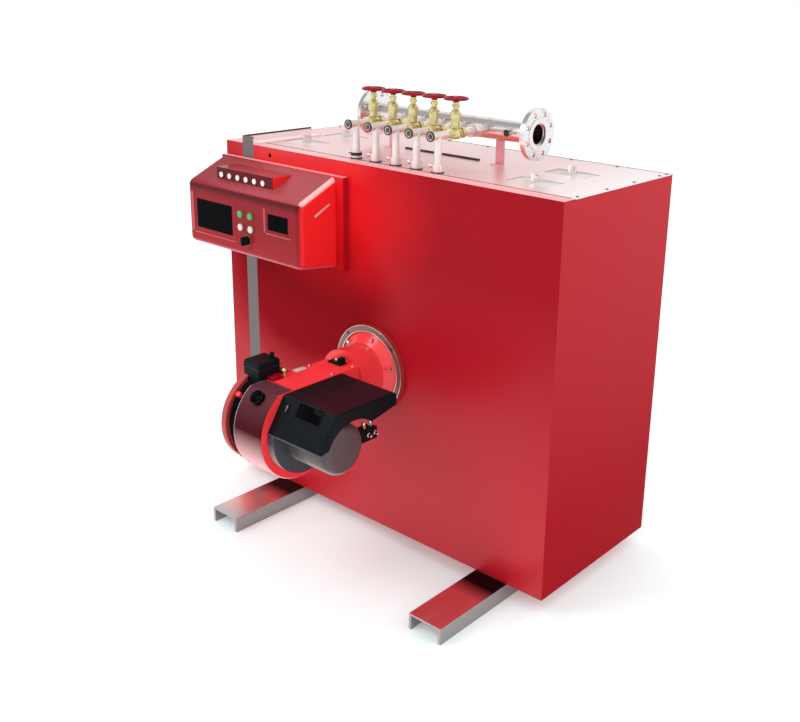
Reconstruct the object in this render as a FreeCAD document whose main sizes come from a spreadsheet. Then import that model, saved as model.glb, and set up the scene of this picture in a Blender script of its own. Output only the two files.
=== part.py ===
"""Packaged industrial boiler: a sheet-metal cabinet on two channel skids, with a forced-draught burner
and a control box on its long front, and a header with five valved branches on its top.

Millimetres, +Z up. The origin is on the floor, under the middle of the whole boiler, from the front of
the burner's fan to the cabinet's back. X runs along the front to the right, Y from the front to the back.
"""

import FreeCAD, Part
import Sketcher
import math
import os
import re

from FreeCAD import Placement, Rotation, Vector

DOCUMENT = FreeCAD.newDocument("IndustrialBoiler")
SHEET = DOCUMENT.addObject("Spreadsheet::Sheet", "Sizes")

# Every size that can be set by itself, in millimetres, degrees or a plain number. A "place" or "left"
# starts at the cabinet's left end, an "up" at its underside, a "rise" or a "drop" at its top, a "reach" at
# its front face, forwards, and a "back" at its front face, backwards.
SIZES = {
    # cabinet
    "cabinet_length": 1634,
    "cabinet_depth": 675,
    "cabinet_height": 1400,
    "sheet_thickness": 2,
    "base_thickness": 4,
    "front_lip": 64,
    "front_hole_radius": 8.5,
    "front_hole_place": 264,
    "front_hole_drop": 31,
    "body_gap": 50,
    "body_top_gap": 14,
    # skids, hot-rolled channels lying on their flanges
    "skid_width": 140,
    "skid_height": 60,
    "skid_web": 7,
    "skid_flange": 10,
    "skid_reach": 357,
    "skid_left_place": 355,
    "skid_right_place": 1414,
    # steel band up the front and over the top
    "band_place": 101,
    "band_width": 64,
    "band_thickness": 4,
    "band_rise": 30,
    "band_run": 360,
    # cut-outs for the lifting lugs
    "cutout_length": 176,
    "cutout_width": 98,
    "cutout_end": 166,
    "cutout_front": 152,
    "cutout_back": 371,
    "lug_thickness": 12,
    "lug_width": 36,
    "lug_rise": 32,
    "lug_hole": 14,
    "lug_land": 8,
    # header
    "header_place": 486,
    "header_length": 767,
    "header_back": 365,
    "header_rise": 128,
    "header_radius": 38,
    "header_wall": 3.2,
    "header_setback": 8,
    "flange_radius": 92.5,
    "flange_thickness": 18,
    "flange_fit": 0.2,
    "flange_bolt_circle": 145,
    "flange_bolt_hole": 18,
    "flange_bolts": 8,
    "socket_radius": 11,
    "socket_bore": 7,
    "socket_length": 20,
    "socket_place": 1172,
    "bracket_left_place": 575,
    "bracket_right_place": 1104,
    "bracket_width": 36,
    "bracket_plate": 6,
    "bracket_foot": 36,
    "bracket_gap": 0.3,
    # risers, branches, valves and unions
    "branch_count": 5,
    "branch_first": 658,
    "branch_pitch": 99,
    "branch_back": 80,
    "branch_front": 37,
    "pipe_radius": 13.45,
    "pipe_wall": 2.6,
    "riser_room": 1,
    "collar_radius": 19,
    "collar_fit": 0.2,
    "collar_height": 30,
    "mouth_radius": 16,
    "mouth_length": 14,
    "valve_back": 170,
    "valve_half": 42,
    "valve_hex_radius": 21,
    "valve_hex_length": 15,
    "valve_barrel_radius": 16,
    "valve_body_radius": 24,
    "valve_body_half": 20,
    "valve_neck_radius": 14,
    "valve_neck_top": 42,
    "bonnet_radius": 19,
    "bonnet_top": 70,
    "gland_radius": 9.5,
    "gland_low": 84,
    "gland_top": 106,
    "stem_radius": 5,
    "stem_clearance": 0.08,
    "stem_depth": 30,
    "stem_grip": 25,
    "wheel_rise": 247,
    "wheel_radius": 44,
    "wheel_rim": 5,
    "wheel_hub": 11,
    "wheel_hub_length": 18,
    "wheel_spoke": 3.6,
    "wheel_spokes": 5,
    "wheel_gap": 0.3,
    "union_back": 278,
    "union_half": 16,
    "union_radius": 25,
    "union_collar_radius": 20,
    "union_collar_length": 14,
    # control box
    "control_left": 0,
    "control_right": 695,
    "control_bottom": 995,
    "control_top": 1345,
    "control_plate": 25,
    "control_reach": 200,
    "control_rim_left": 0,
    "control_rim_right": 40,
    "control_rim_low": 5,
    "control_rim_high": 2,
    "control_slope_up": 1264,
    "control_foot_up": 1022,
    "control_rounding": 24,
    # displays, buttons, lamps and the selector on the control box
    "display_left": 60,
    "display_width": 214,
    "display_up": 1087,
    "display_height": 113,
    "meter_left": 483,
    "meter_width": 108,
    "meter_up": 1146,
    "meter_height": 60,
    "display_proud": 1.5,
    "button_radius": 13,
    "button_proud": 8,
    "button_left": 328,
    "button_pitch": 58,
    "button_row_high": 1180,
    "button_row_low": 1130,
    "knob_place": 362,
    "knob_up": 1084,
    "knob_radius": 17,
    "knob_proud": 22,
    "knob_gap": 0.3,
    "ledge_left": 132,
    "ledge_width": 330,
    "ledge_reach": 154,
    "ledge_high": 1328,
    "lamp_radius": 10,
    "lamp_proud": 5,
    "lamp_left": 163,
    "lamp_pitch": 48.8,
    "lamp_up": 1301,
    "lamp_count": 6,
    # burner: its ring and head, on the middle of the front
    "burner_up": 643,
    "ring_radius": 167,
    "ring_bore": 141,
    "ring_thickness": 20,
    "ring_fit": 0.4,
    "head_flange": 14,
    "head_neck": 34,
    "head_radius": 106,
    "head_reach": 150,
    # burner: its fan and duct, offset to the left of the head
    "fan_left": 760,
    "fan_width": 140,
    "fan_reach": 425,
    "fan_up": 562,
    "fan_radius": 181,
    "fan_flat_up": 711,
    "duct_low_up": 560,
    "fan_rounding": 5,
    "inlet_radius": 150,
    "inlet_width": 60,
    "inlet_cover_radius": 170,
    "inlet_cover_width": 25,
    "inlet_cover_rounding": 7,
    # burner: its motor and hood, to the right of the fan
    "motor_up": 546,
    "motor_radius": 90,
    "motor_length": 212,
    "motor_rounding": 24,
    "shroud_radius": 150,
    "shroud_width": 30,
    "shroud_gap": 1,
    "hood_length": 255,
    "hood_reach_low": 575,
    "hood_low_up": 590,
    "hood_reach_high": 500,
    "hood_high_up": 708,
    "hood_reach_back": 225,
    "hood_back_up": 663,
    "hood_wall": 5,
    "hood_lean": 1.3,
    "hood_arch": 122,
    "hood_rounding": 14,
    # burner: what is fastened to it
    "actuator_width": 87,
    "actuator_depth": 97,
    "actuator_reach": 391,
    "actuator_up": 690,
    "actuator_high_up": 772,
    "actuator_rounding": 9,
    "sight_offset": 76,
    "sight_radius": 24,
    "sight_length": 14,
    "sight_turn": 45,
    "fuel_valve_width": 40,
    "fuel_valve_reach": 250,
    "fuel_valve_up": 528,
    "fuel_valve_height": 42,
    "seat_fit": 0.2,
}


def fill_sheet():
    """Puts every size in the sheet, one row each, with its name as its alias."""
    for row, (name, value) in enumerate(SIZES.items(), 1):
        SHEET.set(f"A{row}", name)
        SHEET.set(f"B{row}", str(value))
        SHEET.setAlias(f"B{row}", name)
    DOCUMENT.recompute()


fill_sheet()

FRONT = "((fan_reach + fan_radius - cabinet_depth) / 2)"
LEFT = "(-cabinet_length / 2)"
RIGHT = "(cabinet_length / 2)"
DECK = "skid_height"
TOP = "(skid_height + cabinet_height)"
BODY_TOP = f"({TOP} - body_top_gap)"
HEADER_Z = f"({TOP} + header_rise)"
BURNER_Z = f"({DECK} + burner_up)"
FAN_Z = f"({DECK} + fan_up)"
MOTOR_Z = f"({DECK} + motor_up)"
FAN_LEFT = f"({LEFT} + fan_left)"
FAN_RIGHT = f"({FAN_LEFT} + fan_width)"
BRANCHES = range(1, int(SIZES["branch_count"]) + 1)
WORD = re.compile("|".join(sorted(SIZES, key=len, reverse=True)))
PARTS = []


def formula(text):
    """Turns the size names in text into references to the sheet."""
    return WORD.sub(lambda found: f"Sizes.{found.group()}", str(text))


def bind(item, **values):
    """Binds properties to formulas; a double underscore in a name stands for a dot."""
    for name, text in values.items():
        item.setExpression(name.replace("__", "."), formula(text))
    return item


def place(item, x=0, y=0, z=0, rotation=None):
    """Turns an object, then binds its place, with y measured from the cabinet's front face."""
    if rotation:
        item.Placement = Placement(Vector(), rotation)
    return bind(item, Placement__Base__x=x, Placement__Base__y=f"{FRONT} + {y}", Placement__Base__z=z)


def keep(item, label):
    """Names a finished sub-part, which is written to a file of that name."""
    item.Label = label
    PARTS.append(item)
    return item


ALONG_X = Rotation(Vector(0, 1, 0), 90)
ALONG_Y = Rotation(Vector(1, 0, 0), -90)
FORWARD = Rotation(Vector(1, 0, 0), 90)
# how near an edge lies to the plane that it is tested against
NEAR = 1
ALONG_Z = Rotation()


def box(low, high):
    """A block between two corners."""
    item = DOCUMENT.addObject("Part::Box", "Block")
    spans = [f"({end}) - ({start})" for start, end in zip(low, high)]
    bind(item, Length=spans[0], Width=spans[1], Height=spans[2])
    return place(item, *low)


def cylinder(start, radius, length, rotation=ALONG_Z):
    """A round bar from a start point along an axis."""
    item = DOCUMENT.addObject("Part::Cylinder", "Bar")
    bind(item, Radius=radius, Height=length)
    return place(item, *start, rotation=rotation)


def hexagon(start, radius, length, rotation=ALONG_Z):
    """A bar of six sides, with a radius to its corners."""
    item = DOCUMENT.addObject("Part::Prism", "Hexagon")
    item.Polygon = 6
    bind(item, Circumradius=radius, Height=length)
    return place(item, *start, rotation=rotation)


def fuse(*items):
    """Joins several solids into one."""
    item = DOCUMENT.addObject("Part::MultiFuse", "Joined")
    item.Shapes = list(items)
    item.Refine = True
    return item


def group(items):
    """Like pieces that don't touch, kept together as separate solids."""
    item = DOCUMENT.addObject("Part::Compound", "Set")
    item.Links = list(items)
    return item


def cut(base, *tools):
    """Takes tools away from a solid."""
    item = DOCUMENT.addObject("Part::Cut", "Trimmed")
    item.Base = base
    item.Tool = tools[0] if len(tools) == 1 else fuse(*tools)
    item.Refine = True
    return item


def tube(start, radius, bore, length, rotation=ALONG_Z):
    """A round bar with a bore right through it."""
    return cut(cylinder(start, radius, length, rotation), cylinder(start, bore, length, rotation))


def start_body():
    """A Part Design body that other shapes are cut with or cut from."""
    return DOCUMENT.addObject("PartDesign::Body", "Body")


def new_body(label):
    """A Part Design body that is a sub-part of its own."""
    return keep(start_body(), label)


def new_sketch(body, role):
    """A sketch on one of a body's origin planes."""
    sketch = body.newObject("Sketcher::SketchObject", "Profile")
    plane = next(item for item in body.Origin.OriginFeatures if item.Role == role)
    sketch.AttachmentSupport = [(plane, "")]
    sketch.MapMode = "FlatFace"
    return sketch


def value_of(text):
    """The number that a formula gives with the sheet's sizes."""
    result = SHEET.evalExpression(formula(text))
    return float(getattr(result, "Value", result))


def draw_polygon(sketch, points):
    """A closed outline whose corners are bound to formulas."""
    first = sketch.GeometryCount
    spots = [Vector(value_of(across), value_of(up), 0) for across, up in points]
    for start, end in zip(spots, spots[1:] + spots[:1]):
        sketch.addGeometry(Part.LineSegment(start, end))
    for number, point in enumerate(points):
        line = first + number
        following = first + (number + 1) % len(points)
        sketch.addConstraint(Sketcher.Constraint("Coincident", line, 2, following, 1))
        for kind, text in zip(("DistanceX", "DistanceY"), point):
            index = sketch.addConstraint(Sketcher.Constraint(kind, -1, 1, line, 1, value_of(text)))
            sketch.setExpression(f"Constraints[{index}]", formula(text))


def draw_circle(sketch, radius, across="0", up="0"):
    """A circle whose radius and middle are bound to formulas."""
    middle = Vector(value_of(across), value_of(up), 0)
    index = sketch.addGeometry(Part.Circle(middle, Vector(0, 0, 1), value_of(radius)))
    constraint = sketch.addConstraint(Sketcher.Constraint("Radius", index, value_of(radius)))
    sketch.setExpression(f"Constraints[{constraint}]", formula(radius))
    for kind, text in (("DistanceX", across), ("DistanceY", up)):
        constraint = sketch.addConstraint(Sketcher.Constraint(kind, -1, 1, index, 3, value_of(text)))
        sketch.setExpression(f"Constraints[{constraint}]", formula(text))


def pad(body, sketch, length):
    """Thickens a sketch into its body."""
    feature = body.newObject("PartDesign::Pad", "Pad")
    feature.Profile = sketch
    return bind(feature, Length=length)


def pocket(body, sketch):
    """Cuts a sketch right through its body, both ways."""
    feature = body.newObject("PartDesign::Pocket", "Pocket")
    feature.Profile = sketch
    feature.Type = "ThroughAll"
    feature.Midplane = True
    return feature


def turn(body, outline):
    """Turns an outline of radii and heights a full turn round the body's Z axis."""
    sketch = new_sketch(body, "XZ_Plane")
    draw_polygon(sketch, outline)
    feature = body.newObject("PartDesign::Revolution", "Turned")
    feature.Profile = sketch
    feature.ReferenceAxis = (sketch, ["V_Axis"])
    return feature


def round_edges(body, radius, wanted):
    """Rounds the edges of a body's newest feature that a test on their box picks out."""
    DOCUMENT.recompute()
    feature = body.Tip
    names = [f"Edge{number}" for number, edge in enumerate(feature.Shape.Edges, 1)
             if wanted(edge.BoundBox)]
    rounded = body.newObject("PartDesign::Fillet", "Rounded")
    rounded.Base = (feature, names)
    return bind(rounded, Radius=radius)


# ---------------------------------------------------------------- skids

def make_skid(label, middle):
    """A channel lying web up, from in front of the cabinet to its back."""
    body = new_body(label)
    sketch = new_sketch(body, "XZ_Plane")
    half = "skid_width / 2"
    inner = "(skid_width / 2 - skid_flange)"
    under = "(skid_height - skid_web)"
    draw_polygon(sketch, [
        (f"-{half}", "0"), (f"-{inner}", "0"), (f"-{inner}", under), (inner, under),
        (inner, "0"), (half, "0"), (half, "skid_height"), (f"-{half}", "skid_height"),
    ])
    length = pad(body, sketch, "skid_reach + cabinet_depth")
    length.Reversed = True
    place(body, x=f"{LEFT} + {middle}", y="-skid_reach")


# ---------------------------------------------------------------- cabinet

def make_front(start, end):
    """A front sheet with its top edge folded back over the cabinet."""
    face = box((start, 0, f"{DECK} + base_thickness"), (end, "sheet_thickness", TOP))
    lip = box((start, 0, f"{TOP} - sheet_thickness"), (end, "front_lip", TOP))
    return fuse(face, lip)


def make_cabinet():
    """The sheet-metal cabinet, its steel band and the insulated boiler body inside."""
    floor = f"{DECK} + base_thickness"
    under = f"{TOP} - sheet_thickness"
    back = "cabinet_depth - sheet_thickness"
    band_left = f"{LEFT} + band_place"
    band_right = f"{band_left} + band_width"
    keep(box((LEFT, 0, DECK), (RIGHT, "cabinet_depth", floor)), "base_plate")
    keep(make_front(LEFT, band_left), "front_panel_left")
    hole = cylinder((f"{LEFT} + front_hole_place", 0, f"{TOP} - front_hole_drop"), "front_hole_radius",
                    "sheet_thickness", ALONG_Y)
    keep(cut(make_front(band_right, RIGHT), hole), "front_panel")
    keep(box((LEFT, back, floor), (RIGHT, "cabinet_depth", under)), "back_panel")
    for label, start in (("end_panel_left", LEFT), ("end_panel_right", f"{RIGHT} - sheet_thickness")):
        low = (start, "sheet_thickness", floor)
        keep(box(low, (f"{start} + sheet_thickness", back, under)), label)
    upright = box((band_left, 0, floor), (band_right, "band_thickness", f"{TOP} + band_rise"))
    tray = box((band_left, 0, TOP), (band_right, "band_run", f"{TOP} + band_thickness"))
    fin = box((band_left, 0, TOP), (f"{band_left} + band_thickness", "band_run", f"{TOP} + band_rise"))
    lip = box((band_left, 0, under), (band_right, "front_lip", TOP))
    keep(fuse(upright, tray, fin, lip), "steel_band")
    low = (f"{LEFT} + body_gap", "body_gap", floor)
    high = (f"{RIGHT} - body_gap", "cabinet_depth - body_gap", BODY_TOP)
    keep(box(low, high), "boiler_body")
    sheet = box((LEFT, "front_lip", under), (RIGHT, "cabinet_depth", TOP))
    holes = [box(*cutout) for cutout in cutouts()]
    for number in BRANCHES:
        middle = (branch(number), "branch_back", under)
        holes.append(cylinder(middle, "pipe_radius + riser_room", "sheet_thickness"))
    keep(cut(sheet, *holes), "top_panel")
    keep(group([make_lug(cutout) for cutout in cutouts()]), "lifting_lugs")


def cutouts():
    """The low and high corners of the four cut-outs in the top."""
    ends = (f"{LEFT} + cutout_end", f"{RIGHT} - cutout_end - cutout_length")
    for start in ends:
        for front in ("cutout_front", "cutout_back"):
            yield ((start, front, f"{TOP} - sheet_thickness"),
                   (f"{start} + cutout_length", f"{front} + cutout_width", TOP))


def make_lug(cutout):
    """An eye plate that stands on the boiler body and comes up through a cut-out."""
    low, high = cutout
    middle_x = f"(({low[0]}) + ({high[0]})) / 2"
    middle_y = f"(({low[1]}) + ({high[1]})) / 2"
    plate = box((f"{middle_x} - lug_thickness / 2", f"{middle_y} - lug_width / 2", BODY_TOP),
                (f"{middle_x} + lug_thickness / 2", f"{middle_y} + lug_width / 2", f"{TOP} + lug_rise"))
    eye_z = f"{TOP} + lug_rise - lug_land - lug_hole / 2"
    eye_start = (f"{middle_x} - lug_thickness / 2", middle_y, eye_z)
    return cut(plate, cylinder(eye_start, "lug_hole / 2", "lug_thickness", ALONG_X))


# ---------------------------------------------------------------- header and branches

def branch(number):
    """The middle of a branch along the front, counted from 1."""
    return f"({LEFT} + branch_first + {number - 1} * branch_pitch)"


def make_header():
    """The pipe that the branches feed, with its slip-on flanges, its socket and its brackets."""
    start = f"{LEFT} + header_place"
    end = f"{start} + header_length"
    axis = ("header_back", HEADER_Z)
    into = "(flange_thickness - header_setback)"
    low = (f"{start} - {into}", *axis)
    pipe = tube(low, "header_radius", "header_radius - header_wall", f"header_length + 2 * {into}", ALONG_X)
    ports = [cylinder((branch(number), *axis), "pipe_radius - pipe_wall", "header_radius", FORWARD)
             for number in BRANCHES]
    keep(cut(pipe, *ports), "header_pipe")
    make_flange("header_flange_left", f"{start} - flange_thickness")
    make_flange("header_flange_right", end)
    mouth = (f"{LEFT} + socket_place", "header_back - header_radius - socket_length", HEADER_Z)
    deep = "socket_length + header_radius"
    socket = cylinder(mouth, "socket_radius", deep, ALONG_Y)
    room = cylinder((start, *axis), "header_radius", "header_length", ALONG_X)
    keep(cut(socket, room, cylinder(mouth, "socket_bore", deep, ALONG_Y)), "header_socket")
    brackets = [make_bracket(spot) for spot in ("bracket_left_place", "bracket_right_place")]
    keep(group(brackets), "header_brackets")


def make_bracket(spot):
    """An angle that stands on the deck under the header, with its foot to the front."""
    low_x = f"{LEFT} + {spot} - bracket_width / 2"
    high_x = f"{LEFT} + {spot} + bracket_width / 2"
    back = "header_back + bracket_plate / 2"
    foot = box((low_x, f"{back} - bracket_foot", TOP), (high_x, back, f"{TOP} + bracket_plate"))
    post = box((low_x, f"{back} - bracket_plate", TOP),
               (high_x, back, f"{HEADER_Z} - header_radius - bracket_gap"))
    return fuse(foot, post)


def make_flange(label, start):
    """A pipe flange with its ring of bolt holes."""
    body = new_body(label)
    disc = new_sketch(body, "YZ_Plane")
    draw_circle(disc, "flange_radius")
    draw_circle(disc, "header_radius + flange_fit")
    pad(body, disc, "flange_thickness")
    holes = new_sketch(body, "YZ_Plane")
    for number in range(SIZES["flange_bolts"]):
        angle = (number + 0.5) * 2 * math.pi / SIZES["flange_bolts"]
        across, up = (f"flange_bolt_circle / 2 * {part(angle)}" for part in (math.cos, math.sin))
        draw_circle(holes, "flange_bolt_hole / 2", across, up)
    pocket(body, holes)
    place(body, x=start, y="header_back", z=HEADER_Z)


def make_branches():
    """Risers with their open mouths, collars, valves, wheels and unions."""
    risers = []
    collars = []
    valves = []
    unions = []
    for number in BRANCHES:
        middle = branch(number)
        risers.append(make_riser(middle))
        collars.append(tube((middle, "branch_back", TOP), "collar_radius", "pipe_radius + collar_fit",
                            "collar_height"))
        valves.append(make_valve(middle))
        unions.append(make_union(middle))
        keep(make_wheel(middle), f"handwheel_{number}")
    keep(group(risers), "risers")
    keep(group(collars), "riser_collars")
    keep(group(valves), "gate_valves")
    keep(group(unions), "pipe_unions")


def make_riser(middle):
    """A pipe up from the boiler body that ends in a tee, with an open mouth to the front."""
    run_length = "valve_back - valve_half - branch_front"
    front = (middle, "branch_front", HEADER_Z)
    upright = cylinder((middle, "branch_back", BODY_TOP), "pipe_radius", f"{HEADER_Z} - {BODY_TOP}")
    run = cylinder(front, "pipe_radius", run_length, ALONG_Y)
    mouth = cylinder(front, "mouth_radius", "mouth_length", ALONG_Y)
    bore = cylinder(front, "pipe_radius - pipe_wall", run_length, ALONG_Y)
    return cut(fuse(upright, run, mouth), bore)


def make_valve(middle):
    """A gate valve: a barrel with hexagon ends, a turned body and bonnet, and a well for the stem."""
    start = (middle, "valve_back - valve_half", HEADER_Z)
    far = (middle, "valve_back + valve_half - valve_hex_length", HEADER_Z)
    barrel = cylinder(start, "valve_barrel_radius", "valve_half * 2", ALONG_Y)
    ends = [hexagon(spot, "valve_hex_radius", "valve_hex_length", ALONG_Y) for spot in (start, far)]
    body = start_body()
    turn(body, [
        ("0", "-valve_body_half"), ("valve_neck_radius", "-valve_body_half"),
        ("valve_body_radius", "-valve_body_half / 2"), ("valve_body_radius", "valve_body_half / 2"),
        ("valve_neck_radius", "valve_body_half"), ("valve_neck_radius", "valve_neck_top"),
        ("bonnet_radius", "valve_neck_top"), ("bonnet_radius", "bonnet_top"),
        ("gland_radius", "gland_low"), ("gland_radius", "gland_top"), ("0", "gland_top"),
    ])
    place(body, middle, "valve_back", HEADER_Z)
    well = cylinder((middle, "valve_back", f"{HEADER_Z} + gland_top - stem_depth"),
                    "stem_radius + stem_clearance", "stem_depth")
    return cut(fuse(barrel, body, *ends), well)


def make_wheel(middle):
    """A handwheel with its hub and spokes, and the stem that goes down into the valve."""
    height = f"{TOP} + wheel_rise"
    hub_low = f"{HEADER_Z} + gland_top + wheel_gap"
    hub = cylinder((middle, "valve_back", hub_low), "wheel_hub", "wheel_hub_length")
    stem = cylinder((middle, "valve_back", f"{hub_low} - stem_grip"), "stem_radius", "stem_grip + wheel_gap")
    rim = DOCUMENT.addObject("Part::Torus", "Rim")
    bind(rim, Radius1="wheel_radius - wheel_rim", Radius2="wheel_rim")
    place(rim, middle, "valve_back", height)
    spokes = []
    reach = "wheel_radius - wheel_rim"
    for number in range(SIZES["wheel_spokes"]):
        aim = Rotation(Vector(0, 0, 1), number * 360 / SIZES["wheel_spokes"]) * ALONG_X
        spokes.append(cylinder((middle, "valve_back", height), "wheel_spoke", reach, aim))
    return fuse(hub, stem, rim, *spokes)


def make_union(middle):
    """The pipe from a valve to the header, with its hexagon nut and the collar behind it."""
    start = "valve_back + valve_half"
    sleeve = cylinder((middle, start, HEADER_Z), "pipe_radius", f"header_back - ({start})", ALONG_Y)
    nut = hexagon((middle, "union_back - union_half", HEADER_Z), "union_radius", "union_half * 2", ALONG_Y)
    collar = cylinder((middle, "union_back + union_half", HEADER_Z), "union_collar_radius",
                      "union_collar_length", ALONG_Y)
    room = cylinder((f"{middle} - header_radius", "header_back", HEADER_Z), "header_radius",
                    "header_radius * 2", ALONG_X)
    return cut(fuse(sleeve, nut, collar), room)


# ---------------------------------------------------------------- control box

def make_control_box():
    """The cased controls at the upper left of the front."""
    low_x = f"{LEFT} + control_left"
    high_x = f"{LEFT} + control_right"
    low_z = f"{DECK} + control_bottom"
    high_z = f"{DECK} + control_top"
    keep(box((low_x, "-control_plate", low_z), (high_x, 0, high_z)), "control_back_plate")
    body = new_body("control_cover")
    sketch = new_sketch(body, "YZ_Plane")
    draw_polygon(sketch, [
        ("-control_plate", "control_bottom + control_rim_low"),
        ("-control_plate", "control_top - control_rim_high"),
        ("-control_reach", "control_slope_up"), ("-control_reach", "control_foot_up"),
    ])
    pad(body, sketch, "control_right - control_left - control_rim_left - control_rim_right")
    back = -SIZES["control_plate"]
    round_edges(body, "control_rounding", lambda edge: edge.YMin < back - NEAR)
    place(body, x=f"{low_x} + control_rim_left", z=DECK)
    make_displays()
    make_buttons()
    make_lamps()


def make_displays():
    """The main display and the small meter, each a little proud of the cover's face."""
    for label, name in (("main_display", "display"), ("meter_display", "meter")):
        start = f"{LEFT} + {name}_left"
        low = f"{DECK} + {name}_up"
        keep(box((start, "-control_reach - display_proud", low),
                 (f"{start} + {name}_width", "-control_reach", f"{low} + {name}_height")), label)


def make_buttons():
    """Two rows of push-buttons, and the selector knob under them."""
    for label, row in (("green_buttons", "button_row_high"), ("white_buttons", "button_row_low")):
        buttons = []
        for step in range(2):
            spot = (f"{LEFT} + button_left + {step} * button_pitch", "-control_reach", f"{DECK} + {row}")
            buttons.append(cylinder(spot, "button_radius", "button_proud", FORWARD))
        keep(group(buttons), label)
    knob = (f"{LEFT} + knob_place", "-control_reach - knob_gap", f"{DECK} + knob_up")
    keep(cylinder(knob, "knob_radius", "knob_proud", FORWARD), "selector_knob")


def make_lamps():
    """A ledge on the cover's slope, with a row of lamps on its front."""
    fall = "(control_top - control_rim_high - control_slope_up) / (control_reach - control_plate)"
    low = f"control_slope_up + (control_reach - ledge_reach) * {fall}"
    back = f"-control_reach + (ledge_high - control_slope_up) / ({fall})"
    ledge = new_body("lamp_ledge")
    outline = new_sketch(ledge, "YZ_Plane")
    draw_polygon(outline, [("-ledge_reach", low), (back, "ledge_high"), ("-ledge_reach", "ledge_high")])
    pad(ledge, outline, "ledge_width")
    place(ledge, x=f"{LEFT} + ledge_left", z=DECK)
    lamps = []
    for step in range(SIZES["lamp_count"]):
        spot = (f"{LEFT} + lamp_left + {step} * lamp_pitch", "-ledge_reach", f"{DECK} + lamp_up")
        lamps.append(cylinder(spot, "lamp_radius", "lamp_proud", FORWARD))
    keep(group(lamps), "indicator_lamps")


# ---------------------------------------------------------------- burner

def round_bar(radius, start, length, height=FAN_Z):
    """A bar on the fan's axis or the motor's, from a place along it."""
    return cylinder((start, "-fan_reach", height), radius, length, ALONG_X)


def make_burner():
    """The forced-draught burner on the middle of the front."""
    keep(tube((0, "-ring_thickness", BURNER_Z), "ring_radius", "ring_bore", "ring_thickness", ALONG_Y),
         "burner_ring")
    head = new_body("burner_head")
    rim = "ring_bore - ring_fit"
    turn(head, [
        ("0", "0"), (rim, "0"), (rim, "head_flange"), ("head_radius", "head_flange + head_neck"),
        ("head_radius", "head_reach"), ("0", "head_reach"),
    ])
    place(head, z=BURNER_Z, rotation=FORWARD)
    make_fan()
    make_motor()
    make_hood()
    make_fittings()


def make_fan():
    """The fan's drum with its duct to the head, and the air inlet and its cover on the left."""
    fan = new_body("fan_housing")
    drum = new_sketch(fan, "YZ_Plane")
    draw_circle(drum, "fan_radius", "-fan_reach", "fan_up")
    pad(fan, drum, "fan_width")
    duct = new_sketch(fan, "YZ_Plane")
    draw_polygon(duct, [
        ("-head_reach", "duct_low_up"), ("-head_reach", "fan_flat_up"),
        ("-fan_reach", "fan_flat_up"), ("-fan_reach", "duct_low_up"),
    ])
    pad(fan, duct, "fan_width")
    above = new_sketch(fan, "YZ_Plane")
    top = "fan_up + fan_radius * 2"
    far = "fan_reach + fan_radius"
    draw_polygon(above, [
        (f"-({far})", "fan_flat_up"), ("0", "fan_flat_up"), ("0", top), (f"-({far})", top),
    ])
    pocket(fan, above)
    axis = -SIZES["fan_reach"]
    round_edges(fan, "fan_rounding", lambda edge: edge.XLength < NEAR and edge.YMin < axis)
    place(fan, x=FAN_LEFT, z=DECK)
    keep(round_bar("inlet_radius", f"{FAN_LEFT} - inlet_width", "inlet_width"), "air_inlet")
    cover = new_body("inlet_cover")
    turn(cover, [
        ("0", "0"), ("inlet_cover_radius - inlet_cover_rounding", "0"),
        ("inlet_cover_radius", "inlet_cover_rounding"), ("inlet_cover_radius", "inlet_cover_width"),
        ("0", "inlet_cover_width"),
    ])
    place(cover, f"{FAN_LEFT} - inlet_width - inlet_cover_width", "-fan_reach", FAN_Z, ALONG_X)


def make_motor():
    """The motor on the fan's axis, with the shroud round its foot."""
    motor = new_body("fan_motor")
    sketch = new_sketch(motor, "XY_Plane")
    draw_circle(sketch, "motor_radius")
    pad(motor, sketch, "motor_length")
    near = SIZES["motor_length"] / 2
    round_edges(motor, "motor_rounding", lambda edge: edge.ZMin > near)
    place(motor, FAN_RIGHT, "-fan_reach", MOTOR_Z, ALONG_X)
    disc = round_bar("shroud_radius", FAN_RIGHT, "shroud_width")
    eye = round_bar("motor_radius + seat_fit", FAN_RIGHT, "shroud_width", MOTOR_Z)
    above = box((FAN_RIGHT, "-fan_reach - shroud_radius", f"{DECK} + hood_low_up - shroud_gap"),
                (f"{FAN_RIGHT} + shroud_width", "-fan_reach + shroud_radius", f"{FAN_Z} + shroud_radius"))
    keep(cut(disc, eye, above), "motor_shroud")


def make_hood_block(wall, length):
    """A block with the hood's outline, or that outline less a wall, from the fan's side."""
    block = start_body()
    sketch = new_sketch(block, "YZ_Plane")
    draw_polygon(sketch, [
        (f"-hood_reach_low + hood_lean * {wall}", f"hood_low_up - {wall}"),
        (f"-hood_reach_back - {wall}", f"hood_back_up - {wall}"),
        (f"-hood_reach_back - {wall}", f"hood_high_up - {wall}"),
        (f"-hood_reach_high + {wall} / 2", f"hood_high_up - {wall}"),
    ])
    pad(block, sketch, length)
    return place(block, FAN_RIGHT, 0, DECK)


def make_hood():
    """The hood over the motor: a shell that is open below, with an arch for the motor in its end."""
    block = make_hood_block("0", "hood_length")
    top = SIZES["hood_high_up"] - NEAR
    end = SIZES["hood_length"] - NEAR
    front = -SIZES["hood_reach_high"] + NEAR

    def outer(edge):
        """Tells the top's edges and the front's end edge from the others."""
        return edge.XMax > NEAR and (edge.ZMin > top or edge.XMin > end and edge.YMax < front)

    round_edges(block, "hood_rounding", outer)
    hollow = make_hood_block("hood_wall", "hood_length - hood_wall")
    arch = round_bar("hood_arch", FAN_RIGHT, "hood_length", MOTOR_Z)
    keep(cut(block, hollow, arch), "burner_hood")


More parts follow.
